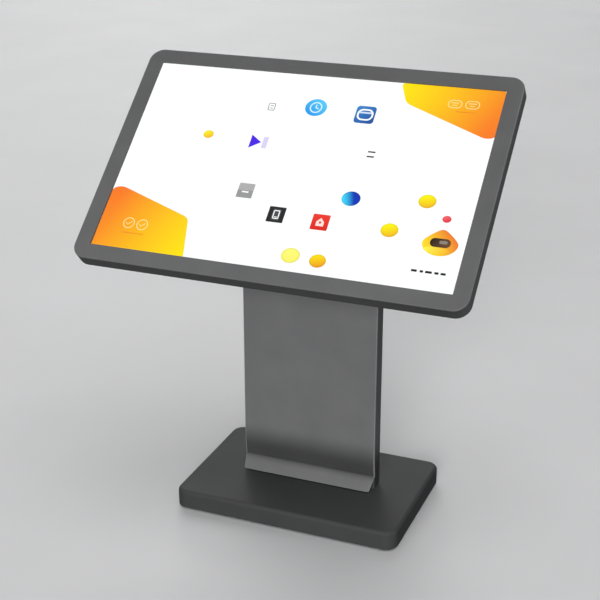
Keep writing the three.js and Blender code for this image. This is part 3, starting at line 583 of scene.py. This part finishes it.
def build_bezel():
    form = Form(ON_HEAD)
    seam, skirt, face = -BEZEL.seam, BEZEL.skirt, -BEZEL.face
    profile = [(-skirt, face), (-skirt, seam + 0.3), (-skirt + 0.3, seam), (-0.3, seam), (0, seam + 0.3)]
    profile += edge(HEAD.edge, 0, 1, 8)
    lip, depth = BEZEL.lip, -BEZEL.lip_depth
    window = [(lip, face), (lip, depth + 0.3), (lip - 0.3, depth), (0.3, depth), (0, depth + 0.3)]
    window += [(0, -0.6), (0.2, -0.2), (0.6, 0)]
    opening = rounded(WINDOW.width, WINDOW.height, WINDOW.corner, steps=4)
    form.plate(HEAD_OUTLINE, profile, [(opening, window)])
    # Painted highlight on the rounded front edge and the window's edge; painted shade on the skirt and
    # the faces further back.
    form.mark_by_depth(2, lambda depths: min(depths) < -0.05)
    form.mark_by_depth(1, lambda depths: max(depths) < -2)
    piece(form, "bezel_frame", ["head_paint", "skirt_shade_paint", "rim_highlight_paint"], "front_bezel")


def vent_outlines():
    """The rear cover's slots: two banks of cooling vents and, below, two speaker grilles."""
    found = []
    for side in (-1, 1):
        for column in (-1, 1):
            found += slot_rows(side * COVER.vent_x + column * 42, COVER.vent_y, 70, 5, 8, 13)
        for column in (-1, 0, 1):
            found += slot_rows(side * SPEAKER_X + column * 34, IO.v, 26, 3.4, 4, 9)
    return found


def build_rear_cover():
    form = Form(ON_HEAD)
    back, sheet = -HEAD.thick, COVER.sheet
    rim = -BEZEL.seam - GAP
    profile = edge(COVER.edge - sheet, back + sheet, -1, 6, -sheet)[::-1]
    profile += [(-sheet, rim - 0.3), (-sheet + 0.3, rim), (-0.3, rim), (0, rim - 0.3)]
    profile += edge(COVER.edge, back, -1, 8)
    outlines = vent_outlines() + [circle(BOLT_HOLE, x, v, 20) for x, v in BOLTS]
    outlines += [rounded(IO.width, IO.height, 4, 0, IO.v, 5), CABLE_HOLE]
    holes = [(outline, hole_profile(back + sheet, back)) for outline in outlines]
    form.plate(HEAD_OUTLINE, profile, holes)
    # Painted shade on all but the flat back of the cover.
    form.mark_by_depth(1, lambda depths: max(depths) > back + 1)
    piece(form, "rear_shell", ["cover_paint", "skirt_shade_paint"], "rear_cover", "head_paint")

    screws = Form(ON_HEAD_REAR)
    right, top = HEAD.width / 2 - COVER.screw_inset, HEAD.height / 2 - COVER.screw_inset
    places = [(x, v) for v in (-top, top) for x in (-480, -240, 0, 240, 480)]
    places += [(x, v) for x in (-right, right) for v in (-160, 0, 160)]
    for x, v in places:
        screw_head(screws, x, v)
    piece(screws, "rear_cover_screws", ["zinc_steel"])


def build_connectors():
    """Socket shells behind the connector plate's openings, each with its tongue."""
    form = Form(ON_HEAD_REAR)
    for x, width, height in ((-66, 15, 6), (-40, 13, 6), (-16, 13, 6), (14, 16, 13)):
        outer = rounded(width - 0.5, height - 0.5, 0.8, x, IO.v, 3)
        inner = rounded(width - 1.7, height - 1.7, 0.5, x, IO.v, 3)
        form.plate(outer, [(0, -14), (0, -2.2)], pits=[(inner, [(0, -13.4), (0, -2.2)])])
        form.block(x, IO.v, width * 0.72, height * 0.32, -13.4, -4, 0.2, mark=1)
    piece(form, "io_connectors", ["zinc_steel", "black_plastic"])


def build_button():
    """The power button: a cap on a collar, with the usual broken ring and bar."""
    form = Form(ON_HEAD_REAR)
    x, y = BUTTON_X, IO.v
    depth = -COVER.sheet - GAP - IO.sheet
    cap = [(8, depth - 2.4), (8, depth - 0.4), (6, depth - 0.4)]
    cap += [(6, 0.5), (5.7, 0.8), (4.6, 0.8), (4.4, 0.5)]
    form.turned(cap, x, y, 40)
    turns = [radians(14 * k - 90) for k in range(-10, 11)]
    arc = [(x + 3 * cos(a), y + 3 * sin(a)) for a in turns]
    arc += [(x + 2.4 * cos(a), y + 2.4 * sin(a)) for a in turns[::-1]]
    form.plate(arc, [(0, 0.45), (0, 0.62)], mark=1)
    form.block(x, y + 2, 0.6, 3.2, 0.45, 0.62, 0.05, mark=1)
    piece(form, "push_button", ["button_metal", "white_mark"], "power_button", body="button")


def build_bracket():
    form = Form(ON_HEAD)
    low, high = -BRACKET.back, -BRACKET.front
    outline = rounded(BRACKET.width, BRACKET.height, BRACKET.corner, 0, BRACKET.v, 8)
    holes = [(circle(BOLT_HOLE, x, v, 20), [(0, low), (0, high)]) for x, v in BOLTS]
    holes.append((CABLE_HOLE, [(0.4, low), (0, low + 0.4), (0, high)]))
    form.plate(outline, slab_profile(low, high, 0.5), holes)
    piece(form, "bracket_plate", ["dark_paint"], "head_bracket")

    face = low - GAP
    for number, (x, v) in enumerate(BOLTS, 1):
        form = Form(ON_HEAD)
        shank = [(3.6, -35), (3.8, -35.4), *thread(3.8, 3.4, -36, -0.9, 6)]
        shank += [(3.8, face), (7, face), (7, face - 3.7), (6.3, face - 4.5)]
        form.turned(shank, x, v, 24, hexagon=2.9, depth=2.6)
        piece(form, f"cap_bolt_{number}", ["zinc_steel"], f"bracket_bolt_{number}")


# --- screen picture
WHITE = "ffffff"
SLATE = "242426"
PICTURE = Sizes(low=-10.78, step=0.09, thick=0.063)


def along(start, end, first, last):
    """A colour that runs from the web colour first at the point start to last at the point end."""
    start, end = Vector(start), Vector(end)
    first, last, run = srgb(first), srgb(last), end - start

    def colour(x, y):
        t = min(max((Vector((x, y)) - start).dot(run) / run.length_squared, 0), 1)
        return tuple(a + (b - a) * t for a, b in zip(first, last))

    return colour


def layer_steps(layer):
    """The two faces of a thin shape on a layer of the picture, counted up from the panel."""
    low = PICTURE.low + layer * PICTURE.step
    return [(0, low), (0, low + PICTURE.thick)]


def patch(form, outline, layer, colour, holes=()):
    """A thin shape of the picture in a web colour, or in a colour that runs."""
    steps = layer_steps(layer)
    paint = srgb(colour) if isinstance(colour, str) else colour
    form.plate(outline, steps, [(hole, steps) for hole in holes], colour=paint)


def ring(form, points, width, layer, colour):
    """A closed line of the picture."""
    patch(form, grown(points, width / 2), layer, colour, [grown(points, -width / 2)])


def stroke(form, points, width, layer, colour):
    """An open line of the picture, drawn as one thin ribbon."""
    sides = []
    for i, here in enumerate(points):
        before, after = Vector(points[max(i - 1, 0)]), Vector(points[min(i + 1, len(points) - 1)])
        run = (after - before).normalized() * width / 2
        sides.append(((here[0] + run.y, here[1] - run.x), (here[0] - run.y, here[1] + run.x)))
    patch(form, [right for right, _ in sides] + [left for _, left in sides[::-1]], layer, colour)


def ball(form, x, y, radius, tone):
    """A ball in the colours of tone, darker at its rim and a little wider than it is tall."""
    low, high = [z for _, z in layer_steps(2)]
    shares = (1, 0.92, 0.8, 0.6, 0.4, 0.2, 0.05)
    levels = [[(u, y + (v - y) * 0.86) for u, v in circle(radius * share, x, y, 40)] for share in shares]
    loops = [form.loop(levels[0], low, tone)]
    for share, level in zip(shares, levels):
        dim = 1 - 0.72 * max(share - 0.75, 0)
        loops.append(form.loop(level, high, lambda u, v: shade(tone(u, v), dim)))
    form.skin(loops)


def bar(form, x, y, half, width, layer, colour):
    stroke(form, [(x - half, y), (x + half, y)], width, layer, colour)


def tile(form, x, y, half, colour, corner):
    patch(form, rounded(2 * half, 2 * half, corner, x, y, 5), 1, colour)


def draw_corners(form):
    """Two warm shapes in opposite corners, with pale symbols on them."""
    yellow, orange, pale = "ffe300", "fa7a22", "ffe596"
    w, h = WINDOW.width / 2 + 3, WINDOW.height / 2 + 3
    upper = with_round_corners([(200, h), (226, 228), (448, 144), (w, 152), (w, h)], 14)
    patch(form, upper, 1, along((225, 270), (440, 150), yellow, orange))
    lower = with_round_corners([(-w, -h), (-213, -h), (-238, -172), (-448, -104), (-w, -112)], 14)
    patch(form, lower, 1, along((-440, -140), (-235, -265), orange, yellow))
    for x, y in ((350, 238), (394, 239)):
        ring(form, rounded(34, 22, 10, x, y, 6), 2.2, 3, pale)
        for lift, reach in ((3.5, 10), (-3.5, 6)):
            bar(form, x, y + lift, reach, 2.2, 2, pale)
    for x, y in ((-392, -208), (-354, -209)):
        ring(form, circle(14.5, x, y, 36), 2.4, 3, pale)
        stroke(form, [(x - 8, y + 1), (x - 3, y - 5), (x + 8, y + 5)], 2.2, 2, pale)
    for x, y, half in ((381, 216, 25), (-372, -236, 31)):
        bar(form, x, y, half, 1.6, 2, shade(srgb(orange), 0.9))


def draw_balls(form):
    bright, warm = "fff600", "f2b21c"
    for x, y, radius, lit, deep in (
        (-267, 78, 14, "fff21e", "f8b61c"),
        (350, -46, 22, bright, warm),
        (279, -136, 22, bright, warm),
        (57, -238, 24, "fffb78", "fff36a"),
        (128, -243, 21, "ffe100", "ee9418"),
        (408, -88, 11, "f8666c", "e02a38"),
    ):
        ball(form, x, y, radius, along((x - 5, y + 0.7 * radius), (x + 4, y - 0.9 * radius), lit, deep))
    ball(form, 162, -63, 24, along((142, -68), (168, -60), "42dcff", "0836b4"))


def draw_symbols(form):
    """Plain app symbols: a clock, a calendar, a page, a triangle, a card, a sheet, a house and bars."""
    grey, ice = "6a6a70", "d8f2ff"
    dial = [(u, 190 + (v - 190) * 0.9) for u, v in circle(29, -3, 190, 48)]
    patch(form, dial, 1, along((14, 214), (-22, 168), "58ccf8", "2296ee"))
    ring(form, circle(15, -3, 190, 40), 3.4, 3, ice)
    stroke(form, [(-3, 189), (-3, 199)], 3, 2, ice)
    stroke(form, [(-4, 190), (5, 186)], 3, 3, ice)

    tile(form, 131, 182, 26, along((110, 206), (152, 160), "3c84cc", "1d4f9f"), 9)
    ring(form, rounded(38, 30, 13, 131, 182, 6), 4.5, 3, WHITE)
    bar(form, 131, 188, 16, 5, 2, "cfe0f4")

    ring(form, rounded(17, 21, 3, -122, 180, 4), 1.8, 1, grey)
    for y in (184, 176):
        bar(form, -122, y, 4, 1.8, 1, grey)

    patch(form, [(-147, 90), (-147, 50), (-117, 70)], 1, "4a22e8")
    patch(form, box_outline(-113, -100, 53, 87), 2, "dcd2f6")
    for y in (75, 61):
        bar(form, 177.5, y, 9.5, 4, 1, SLATE)

    tile(form, -113, -75, 21, "b0aeaf", 3)
    patch(form, box_outline(-134, -92, -96, -74), 2, "9a999a")
    bar(form, -113, -79, 9, 4, 3, WHITE)

    tile(form, -13, -132, 22, SLATE, 2)
    patch(form, rounded(22, 32, 3, -13, -132, 3), 2, "4c4c4e")
    ring(form, rounded(14, 22, 2, -13, -132, 3), 2.6, 3, WHITE)
    bar(form, -13, -139, 4, 2, 4, WHITE)

    tile(form, 104, -138, 22, along((104, -116), (104, -160), "f03a2c", "dc2418"), 3)
    patch(form, [(94, -149), (114, -149), (114, -137), (104, -126), (94, -137)], 2, "ffe0da")
    patch(form, circle(3.2, 104, -139, 20), 3, "ee3226")

    for x, half in ((364, 7), (382, 4), (399, 8), (418, 5), (434, 6)):
        bar(form, x, -233, half, 6, 1, SLATE)


def draw_drop(form, x, y):
    """A plump drop, yellow at its foot and orange at its tip, with a dark almond in it."""
    turns = [2 * pi * i / 48 - pi / 2 for i in range(48)]
    drop = []
    for angle in turns:
        across, up = cos(angle), sin(angle)
        pull = max(up, 0) ** 2.2
        height = 33 if up < 0 else 22
        drop.append((x + 43.5 * across * (1 - 0.4 * pull), y + 1 + height * up + 16 * pull))
    patch(form, drop, 1, along((x + 22, y + 20), (x - 26, y - 20), "f07a2c", "ffe022"))
    gleam = [(x - 7 + 30 * cos(a), y - 17 + 9 * sin(a)) for a in turns]
    patch(form, gleam, 2, along((x - 30, y - 10), (x + 26, y - 24), "fff04a", "fbb028"))
    seed = rounded(50, 24, 11.5, x, y + 3, 8)
    patch(form, seed, 3, along((x - 20, y + 12), (x + 18, y - 8), "241a12", "6a4a30"))
    patch(form, rounded(20, 9, 4, x + 7, y + 5, 4), 4, "8c8076")


def build_picture():
    """A generic touch menu with no lettering."""
    form = Form(ON_HEAD)
    patch(form, rounded(WINDOW.width + 8, WINDOW.height + 8, 2, steps=1), 0, WHITE)
    draw_corners(form)
    draw_balls(form)
    draw_symbols(form)
    draw_drop(form, 408, -156)
    piece(form, "screen_picture", ["picture_light"], slot="screen_face")


# --- column
def recess_at(z):
    share = min(max((LIP.top - z) / (LIP.top - LIP.crease), 0), 1)
    return LIP.recess * share * share


def channel_outline(z):
    """A level section of the folded front sheet, open to the back."""
    half, back = COLUMN.width / 2, COLUMN.back
    front = COLUMN.front + recess_at(z)
    corners = []
    for radius, inset, order in ((COLUMN.bend, 0, 1), (COLUMN.bend - SHEET, SHEET, -1)):
        run = []
        for side, start in ((-1, 180), (1, 270)):
            for i in range(9):
                angle = radians(start + 90 * i / 8)
                x = side * (half - inset - radius) + radius * cos(angle)
                run.append((x, front + inset + radius + radius * sin(angle)))
        run = [(-half + inset, back), *run, (half - inset, back)]
        corners += run[::order]
    return corners


def lip_form():
    """The lip, drawn flat and flared out from the crease; its marks pick the front sheet's paints."""
    drop = LIP.crease - LIP.bottom
    length = hypot(drop, LIP.reach)
    flare = atan2(LIP.reach, drop)
    top, bottom = COLUMN.width / 2 - 0.5, COLUMN.width / 2 - LIP.taper
    corners = [(-bottom, -length), (bottom, -length), (top, 1.5), (-top, 1.5)]
    # Only the two corners at its foot are round, with 9 points each.
    outline = with_round_corners(corners, LIP.round, 8)[:18] + corners[2:]
    place = Matrix.Translation((0, COLUMN.front + LIP.recess, LIP.crease))
    form = Form(place @ Matrix.Rotation(pi / 2 - flare, 4, "X"))
    steps = slab_profile(-LIP.thick, 0, 1.3, 4)
    form.plate(outline, steps, mark=1)
    # A painted highlight on the upper breaks of its two ends; a painted shadow on its edge over the base,
    # and on its cut edge and lower breaks all round.
    front_edge, count = range(4, 13), len(outline)
    for wall in range(len(steps) - 1):
        marks = [3 if wall <= 4 or i in front_edge else 2 for i in range(count)]
        form.marks[wall * count : (wall + 1) * count] = marks
    return form


def union_of(forms, finishes):
    """The first form's mesh with the second joined on; both have the same finishes."""
    parts = [place_object("union_part", mesh_of(form, "union_part")) for form in forms]
    for part in parts:
        for finish in finishes:
            part.data.materials.append(FINISHES[finish])
    union = parts[0].modifiers.new("union", "BOOLEAN")
    union.operation, union.object, union.solver = "UNION", parts[1], "EXACT"
    graph = bpy.context.evaluated_depsgraph_get()
    mesh = bpy.data.meshes.new_from_object(parts[0].evaluated_get(graph))
    mesh.set_sharp_from_angle(angle=SHARP_ANGLE)
    for part in parts:
        bpy.data.objects.remove(part)
    return mesh


def build_column_front():
    """The folded front sheet with a painted highlight on its bends, joined to its lip."""
    form = Form()
    levels = [COLUMN.foot, *[LIP.crease + (LIP.top - LIP.crease) * i / 20 for i in range(21)]]
    loops = [form.loop(channel_outline(z), z) for z in levels]
    loops.append(form.loop(channel_outline(LIP.top), lambda x, y: under_head(y)))
    form.skin(loops)
    # Above the crease, a painted highlight on the breaks of the two outer bends.
    bends = {*range(1, 9), *range(10, 18)}
    count = len(loops[0])
    for wall in range(1, len(loops) - 1):
        form.marks[wall * count : (wall + 1) * count] = [2 if i in bends else 0 for i in range(count)]
    mesh = union_of([form, lip_form()], ["column_paint", "lip_shade_paint", "edge_highlight_paint", "shadow_paint"])
    show(mesh, "front_sheet", [], "column_front", "column_paint")


def build_column_back():
    """The sheet that closes the column, with the doorway, the vents and the notch for the mains entry."""
    half, back, inner = COLUMN.width / 2 - SHEET - GAP, COLUMN.back, COLUMN.back - SHEET
    top, foot = under_head(inner), COLUMN.foot
    notch = ENTRY.width / 2 - ENTRY.overlap
    left, right, notch_top = ENTRY.x - notch, ENTRY.x + notch, ENTRY.high - ENTRY.overlap
    outline = [(-half, foot), (left, foot), (left, notch_top), (right, notch_top), (right, foot)]
    outline += [(half, foot), (half, top), (-half, top)]
    outlines = [box_outline(-DOOR.half, DOOR.half, DOOR.low, DOOR.high)]
    outlines += slot_rows(0, FAN_Z, 66, 4, 7, 10) + slot_rows(0, 170, 200, 5, 6, 12)
    holes = [(points, hole_profile(inner, back)) for points in outlines]
    form = Form(ON_BACK)
    form.plate(outline, chamfered(inner, back, 0.3), holes)
    piece(form, "back_sheet", ["cover_paint"], "column_back", "column_paint")

    screws = Form(ON_BACK)
    for side in (-1, 1):
        for z in (90, 225, 400, 560, 740, 900, 1010):
            screw_head(screws, side * (COLUMN.width / 2 - 20.5), z, back, 3.4)
        for z in (68, 124):
            screw_head(screws, ENTRY.x + side * (ENTRY.width / 2 - 2.7), z, ENTRY_FACE, 2.1)
    piece(screws, "column_screws", ["zinc_steel"])


def build_computer():
    """The small computer: a finned case with its ports, status light and corner screws."""
    x, z, front = COMPUTER.x, COMPUTER.z, BOX_FRONT
    lid, fin_low, fin_high = front + 26, front + 25, front + 30
    form = Form(ON_BACK)
    form.plate(rounded(COMPUTER.width, COMPUTER.height, 6, x, z, 6), slab_profile(front, lid, 0.8))
    for i in range(-6, 7):
        form.block(x + i * 15, z, 6, 140, fin_low, fin_high, 0.8)
    for side in (-1, 1):
        form.block(x + side * 40, z + side * 78, 110, 12, fin_low, fin_high, 0.8)
    foot = z - COMPUTER.height / 2
    for port, width in ((-60, 16), (-30, 16), (0, 16), (40, 22)):
        form.block(x + port, foot + 0.6, width, 2.8, front + 8, front + 18, 0.3, 1)
    light = [(2.2, fin_high - 0.1), (2.2, fin_high + 0.4), (1.4, fin_high + 0.8)]
    form.turned(light, x + 72, z - 78, 20, 2)
    for across in (-86, 86):
        for up in (-76, 76):
            screw_head(form, x + across, z + up, lid, 3, 3)
    finishes = ["anodised_case", "black_plastic", "status_light", "zinc_steel"]
    piece(form, "computer_case", finishes, "mini_computer")


def build_supply():
    """The boxed power supply: a perforated hood, and a row of terminals below it."""
    x, low, high, front = SUPPLY.x, SUPPLY.low, SUPPLY.high, BOX_FRONT
    half, split, top = SUPPLY.width / 2, front + 11.7, front + 30
    holes = []
    for column in range(11):
        for row in range(17):
            shift = 3.5 * (row % 2)
            outline = circle(2, x - 38 + column * 7 + shift, low + 34 + row * 7, 8)
            holes.append((outline, [(0, top - 1.2), (0, top)]))
    form = Form(ON_BACK)
    hood = box_outline(x - half, x + half, low + SUPPLY.hood, high)
    form.plate(hood, chamfered(split, top, 0.5), pits=holes)
    form.block(x, (low + high) / 2, SUPPLY.width, high - low, front, split, 0.5)
    form.block(x, low + 8.8, 92, 13.6, split, front + 22, 0.6, 1)
    for i in range(7):
        screw_head(form, x - 39 + i * 13, low + 9, front + 22, 3.4, 2)
    piece(form, "supply_case", ["aluminium_case", "black_plastic", "zinc_steel"], "power_supply")


# --- service door
def build_door():
    """The door's sheet, with a fold along its top and its foot."""
    back, inner, half = COLUMN.back, COLUMN.back - SHEET, DOOR.half - GAP
    low, high = DOOR.low + GAP, DOOR.high - GAP
    form = Form(ON_BACK)
    outline = with_round_corners(box_outline(-half, half, low, high), 1.5, 4)
    outlines = [circle(LOCK.barrel + GAP, LOCK.x, LOCK.z, 40)] + slot_rows(0, 640, 150, 5, 6, 12)
    holes = [(points, hole_profile(inner, back)) for points in outlines]
    form.plate(outline, sheet_profile(inner, back), holes)
    for z in (low + 5, high - 5):
        form.block(0, z, 2 * half - 12, SHEET, inner - DOOR.fold, inner + 0.2)
    piece(form, "door_panel", ["cover_paint"], "service_door", "column_paint", body="door")


def hinge_leaf(level, side, body, name, kind):
    """One leaf with its knuckles and three screws: the middle knuckle, or the outer two on the frame."""
    x, z = HINGE.x, HINGE_HEIGHTS[level]
    half, tall = HINGE.knuckle / 2, HINGE.knuckle * 1.5
    spans = [(z - half, z + half)]
    if kind == "frame":
        spans = [(z - tall, z - half - GAP), (z + half + GAP, z + tall)]
    inner = COLUMN.back + GAP
    outer = inner + HINGE.thick
    near, far = 3.8, HINGE.barrel + HINGE.leaf
    form = Form(ON_BACK)
    outline = rounded(far - near, 2 * tall, 1.2, x + side * (near + far) / 2, z, 4)
    form.plate(outline, slab_profile(inner, outer, 0.35))
    for low, high in spans:
        form.block(x + side * 3.7, (low + high) / 2, 2.2, high - low, inner, outer, 0.2)
    for dz in (-15, 0, 15):
        screw_head(form, x + side * 14.5, z + dz, outer, 2.5, 1)
    form.place = UPRIGHT
    for low, high in spans:
        barrel = [(3.6, low), (HINGE.barrel, low + 0.4), (HINGE.barrel, high - 0.4), (3.6, high)]
        form.turned(barrel, x, HINGE.y, 32, bore=HINGE.bore)
    piece(form, f"{name}_{level}", ["zinc_steel", "bare_steel"], f"hinge_leaf_{kind}_{level}", body=body)


def build_hinges():
    pin = HINGE.pin
    for level, z in HINGE_HEIGHTS.items():
        hinge_leaf(level, -1, "stand", "fixed_leaf", "frame")
        hinge_leaf(level, 1, "door", "moving_leaf", "door")
        profile = [(pin - 0.4, z - 25), (pin, z - 24.6), (pin, z + 24.2)]
        profile += [(pin + 0.3, z + 24.3), (pin + 0.3, z + 24.8), (pin - 0.2, z + 25)]
        form = Form()
        form.turned(profile, HINGE.x, HINGE.y, 24)
        piece(form, f"knuckle_pin_{level}", ["bare_steel"], f"hinge_pin_{level}")


def build_lock():
    """The cam lock's body, fixed in the door, and the core with its keyway that turns in it."""
    x, z, face, barrel, flange = LOCK.x, LOCK.z, COLUMN.back + GAP, LOCK.barrel, LOCK.flange
    form = Form(ON_BACK)
    body = [(barrel - 0.4, LOCK.inner), (barrel, LOCK.inner + 0.4), (barrel, face)]
    body += [(flange, face), (flange, face + 1.2), (flange - 0.8, face + 2)]
    form.turned(body, x, z, 48, bore=LOCK.bore)
    piece(form, "lock_body", ["lock_metal"], "lock_barrel", body="door")

    form = Form(ON_BACK)
    top = face + 1.6
    keyway = (rounded(1.6, 6.8, 0.5, x, z, 3), [(0, top - 6), (0, top)])
    form.plate(circle(LOCK.plug, x, z, 40), chamfered(LOCK.inner - 0.6, top, 0.4), pits=[keyway])
    piece(form, "lock_core", ["lock_metal"], "lock_plug", body="lock")


# --- power entry
def build_entry():
    """The plate that carries the mains inlet and the switch."""
    x, half, inner = ENTRY.x, ENTRY.width / 2, COLUMN.back + GAP
    outline = with_round_corners(box_outline(x - half, x + half, ENTRY.low, ENTRY.high), 3, 5)
    through = [(0, inner), (0, ENTRY_FACE)]
    holes = [
        (rounded(INLET.width + 0.8, INLET.height + 0.8, 1, INLET.x, INLET.z, 2), through),
        (rounded(ROCKER.body_width + 1, ROCKER.body_height + 1, 1, ROCKER.x, ROCKER.z, 2), through),
    ]
    form = Form(ON_BACK)
    form.plate(outline, sheet_profile(inner, ENTRY_FACE), holes)
    piece(form, "inlet_plate", ["cover_paint"], "entry_plate", "column_paint")


def build_inlet():
    """The mains inlet: a keyed socket with three pins, in a flange held by two screws."""
    x, z, face = INLET.x, INLET.z, ENTRY_FACE + GAP
    floor, rim = face - 15.2, face + 2.5
    key = [(-12.2, -8.3), (12.2, -8.3), (12.2, 3.5), (7.5, 8.3), (-7.5, 8.3), (-12.2, 3.5)]
    socket = with_round_corners([(x + across, z + up) for across, up in key], 1, 3)
    body = rounded(INLET.width, INLET.height, 2, x, z, 5)
    form = Form(ON_BACK)
    form.plate(body, slab_profile(face - INLET.depth, floor, 0.5))
    walls = [(0, floor), (0, face + 0.1)]
    form.plate(body, walls, [(socket, walls)])
    flange = with_round_corners(box_outline(x - 24, x + 24, z - 13.5, z + 13.5), 5, 5)
    mouth = [(0, face), (0, rim - 0.3), (0.4, rim)]
    form.plate(flange, chamfered(face, rim, 0.5), [(socket, mouth)])
    for across, up in ((-7, -1.5), (7, -1.5), (0, 2.5)):
        form.block(x + across, z + up, 2, 4, floor - 0.2, face - 1, 0.6, 1)
    for across in (-19, 19):
        screw_head(form, x + across, z, rim, 2.6, 1)
    piece(form, "inlet_socket", ["black_plastic", "zinc_steel"], "power_inlet")


def build_switch():
    """The mains switch: a well in a flange, and a rocker with a line and a ring that rests tipped."""
    x, z, face = ROCKER.x, ROCKER.z, ENTRY_FACE + GAP
    form = Form(ON_BACK)
    well = rounded(ROCKER.width + 0.8, 16, 0.6, x, z, 3)
    body = rounded(ROCKER.body_width, ROCKER.body_height, 1, x, z, 3)
    form.plate(body, [(0, face - 16), (0, face)], pits=[(well, [(0, face - 12), (0, face)])])
    flange, rim = rounded(24, 26, 3, x, z, 6), face + 2
    form.plate(flange, chamfered(face, rim, 0.4), [(well, hole_profile(face, rim))])
    piece(form, "switch_bezel", ["black_plastic"], "switch_housing")

    pivot = Matrix.Translation((x, ENTRY_FACE - 1, z))
    pivot @= Matrix.Rotation(radians(-ROCKER.throw / 2), 4, "X")
    # The side outline's X points out of the plate and its Y up; its Z is the rocker's width.
    form = Form(pivot @ Matrix(((0, 0, 1, 0), (1, 0, 0, 0), (0, 1, 0, 0), (0, 0, 0, 1))))
    side = [(-7, -4), (4, -6.9), (3.1, -3), (2.7, 0), (3.1, 3), (4, 6.9), (-7, 4)]
    form.plate(side, slab_profile(-ROCKER.width / 2, ROCKER.width / 2, 0.5, 3))
    form.place = pivot @ ON_BACK
    low, high = 3, 3.75
    form.block(0, 4.1, 1, 3, low, high, 0.1, 1)
    steps = [(0, low), (0, high)]
    form.plate(circle(1.7, 0, -4.1, 20), steps, [(circle(1.1, 0, -4.1, 20), steps)], mark=1)
    piece(form, "switch_rocker", ["switch_plastic", "white_mark"], "power_rocker", body="rocker")


# --- base
def build_base():
    """The base's shell, with a slot for what stands up into the column."""
    form = Form()
    top, low = BASE.top, BASE.low
    outline = rounded(BASE.width, BASE.depth, BASE.corner, 0, BASE.y, 20)
    profile = edge(BASE.edge - SHEET, top - SHEET, 1, 8, -SHEET)[::-1]
    profile += [(-SHEET, low + 0.4), (-SHEET + 0.4, low), (-0.5, low), (0, low + 0.6)]
    profile += edge(BASE.edge, top, 1, 12)
    half = COLUMN.width / 2 - 4.5
    column_slot = box_outline(-half, half, COLUMN.front + 8.8, COLUMN.back - 2.7)
    form.plate(outline, profile, [(column_slot, [(0, top - SHEET), (0, top)])])
    piece(form, "base_shell", ["base_paint"], "base_cover")


def build_feet():
    """The levelling feet: a ribbed rubber pad under a threaded stud."""
    for number, (x, y) in enumerate(FEET, 1):
        form = Form()
        pad = [(17.5, 0), (18.2, 0.1)]
        for z in (0.4, 1.4, 2.4):
            pad += [(20, z), (20, z + 0.5), (19.3, z + 0.75), (19.3, z + 0.95)]
        pad += [(20, 3.6), (19, 4.3), (17, 4.5)]
        form.turned(pad, x, y, 48)
        stud = [(5, 4.4), *thread(5, 4.4, 5.2, 1.2, 16), (5, 24.4), (4.4, 25)]
        form.turned(stud, x, y, 24, 1)
        name, body, node = f"foot_pad_{number}", f"foot_{number}", f"levelling_foot_{number}"
        piece(form, name, ["foot_rubber", "zinc_steel"], node, body=body)


build_bezel()
build_rear_cover()
build_connectors()
build_button()
build_bracket()
build_picture()
build_column_front()
build_column_back()
build_computer()
build_supply()
build_door()
build_hinges()
build_lock()
build_entry()
build_inlet()
build_switch()
build_base()
build_feet()

# --- floor, light and backdrop
FLOOR_HALF = 40000

floor_form = Form()
floor_form.loop(box_outline(-FLOOR_HALF, FLOOR_HALF, -FLOOR_HALF, FLOOR_HALF), 0)
floor_form.face(range(4))
tree, shader = new_material("floor", Roughness=0.7)
floor_tone = ramp(noise(tree, 1.5, 4), (0.3, (0.6, 0.6, 0.605)), (0.7, (0.63, 0.63, 0.635)))
fill(shader, Base_Color=floor_tone)
floor = place_object("floor", mesh_of(floor_form, "floor"))
floor.data.materials.append(FINISHES["floor"])
floor.visible_diffuse = floor.visible_glossy = False


def sun(name, towards, strength, spread_deg):
    """Soft light from far away that travels along towards."""
    lamp = bpy.data.lights.new(name, "SUN")
    lamp.energy, lamp.angle = strength, radians(spread_deg)
    made = place_object(name, lamp)
    made.rotation_euler = Vector(towards).to_track_quat("-Z", "Y").to_euler()


sun("front", (-0.17, 0.94, -0.3), 2.15, 25)
sun("top", (-0.22, 0.25, -0.94), 1.15, 50)
sun("back", (0.35, -0.62, -0.7), 0.8, 40)
sun("rear", (0.45, -0.88, -0.12), 0.9, 20)

# A dim light all round, and behind the floor a paler backdrop that only the camera sees.
world = bpy.data.worlds.new("studio")
world.use_nodes = True
scene.world = world
tree, ambient = world.node_tree, world.node_tree.nodes["Background"]
fill(ambient, Color=(0.95, 0.97, 1), Strength=0.15)
backdrop = new_node(tree, "Background", Color=(0.6, 0.6, 0.61))
mixed = new_node(tree, "MixShader", Fac=new_node(tree, "LightPath").outputs["Is Camera Ray"])
for light, target in zip((ambient, backdrop), mixed.inputs[1:]):
    tree.links.new(light.outputs["Background"], target)
fill(tree.nodes["World Output"], Surface=mixed.outputs["Shader"])

scene.view_settings.view_transform = "Standard"
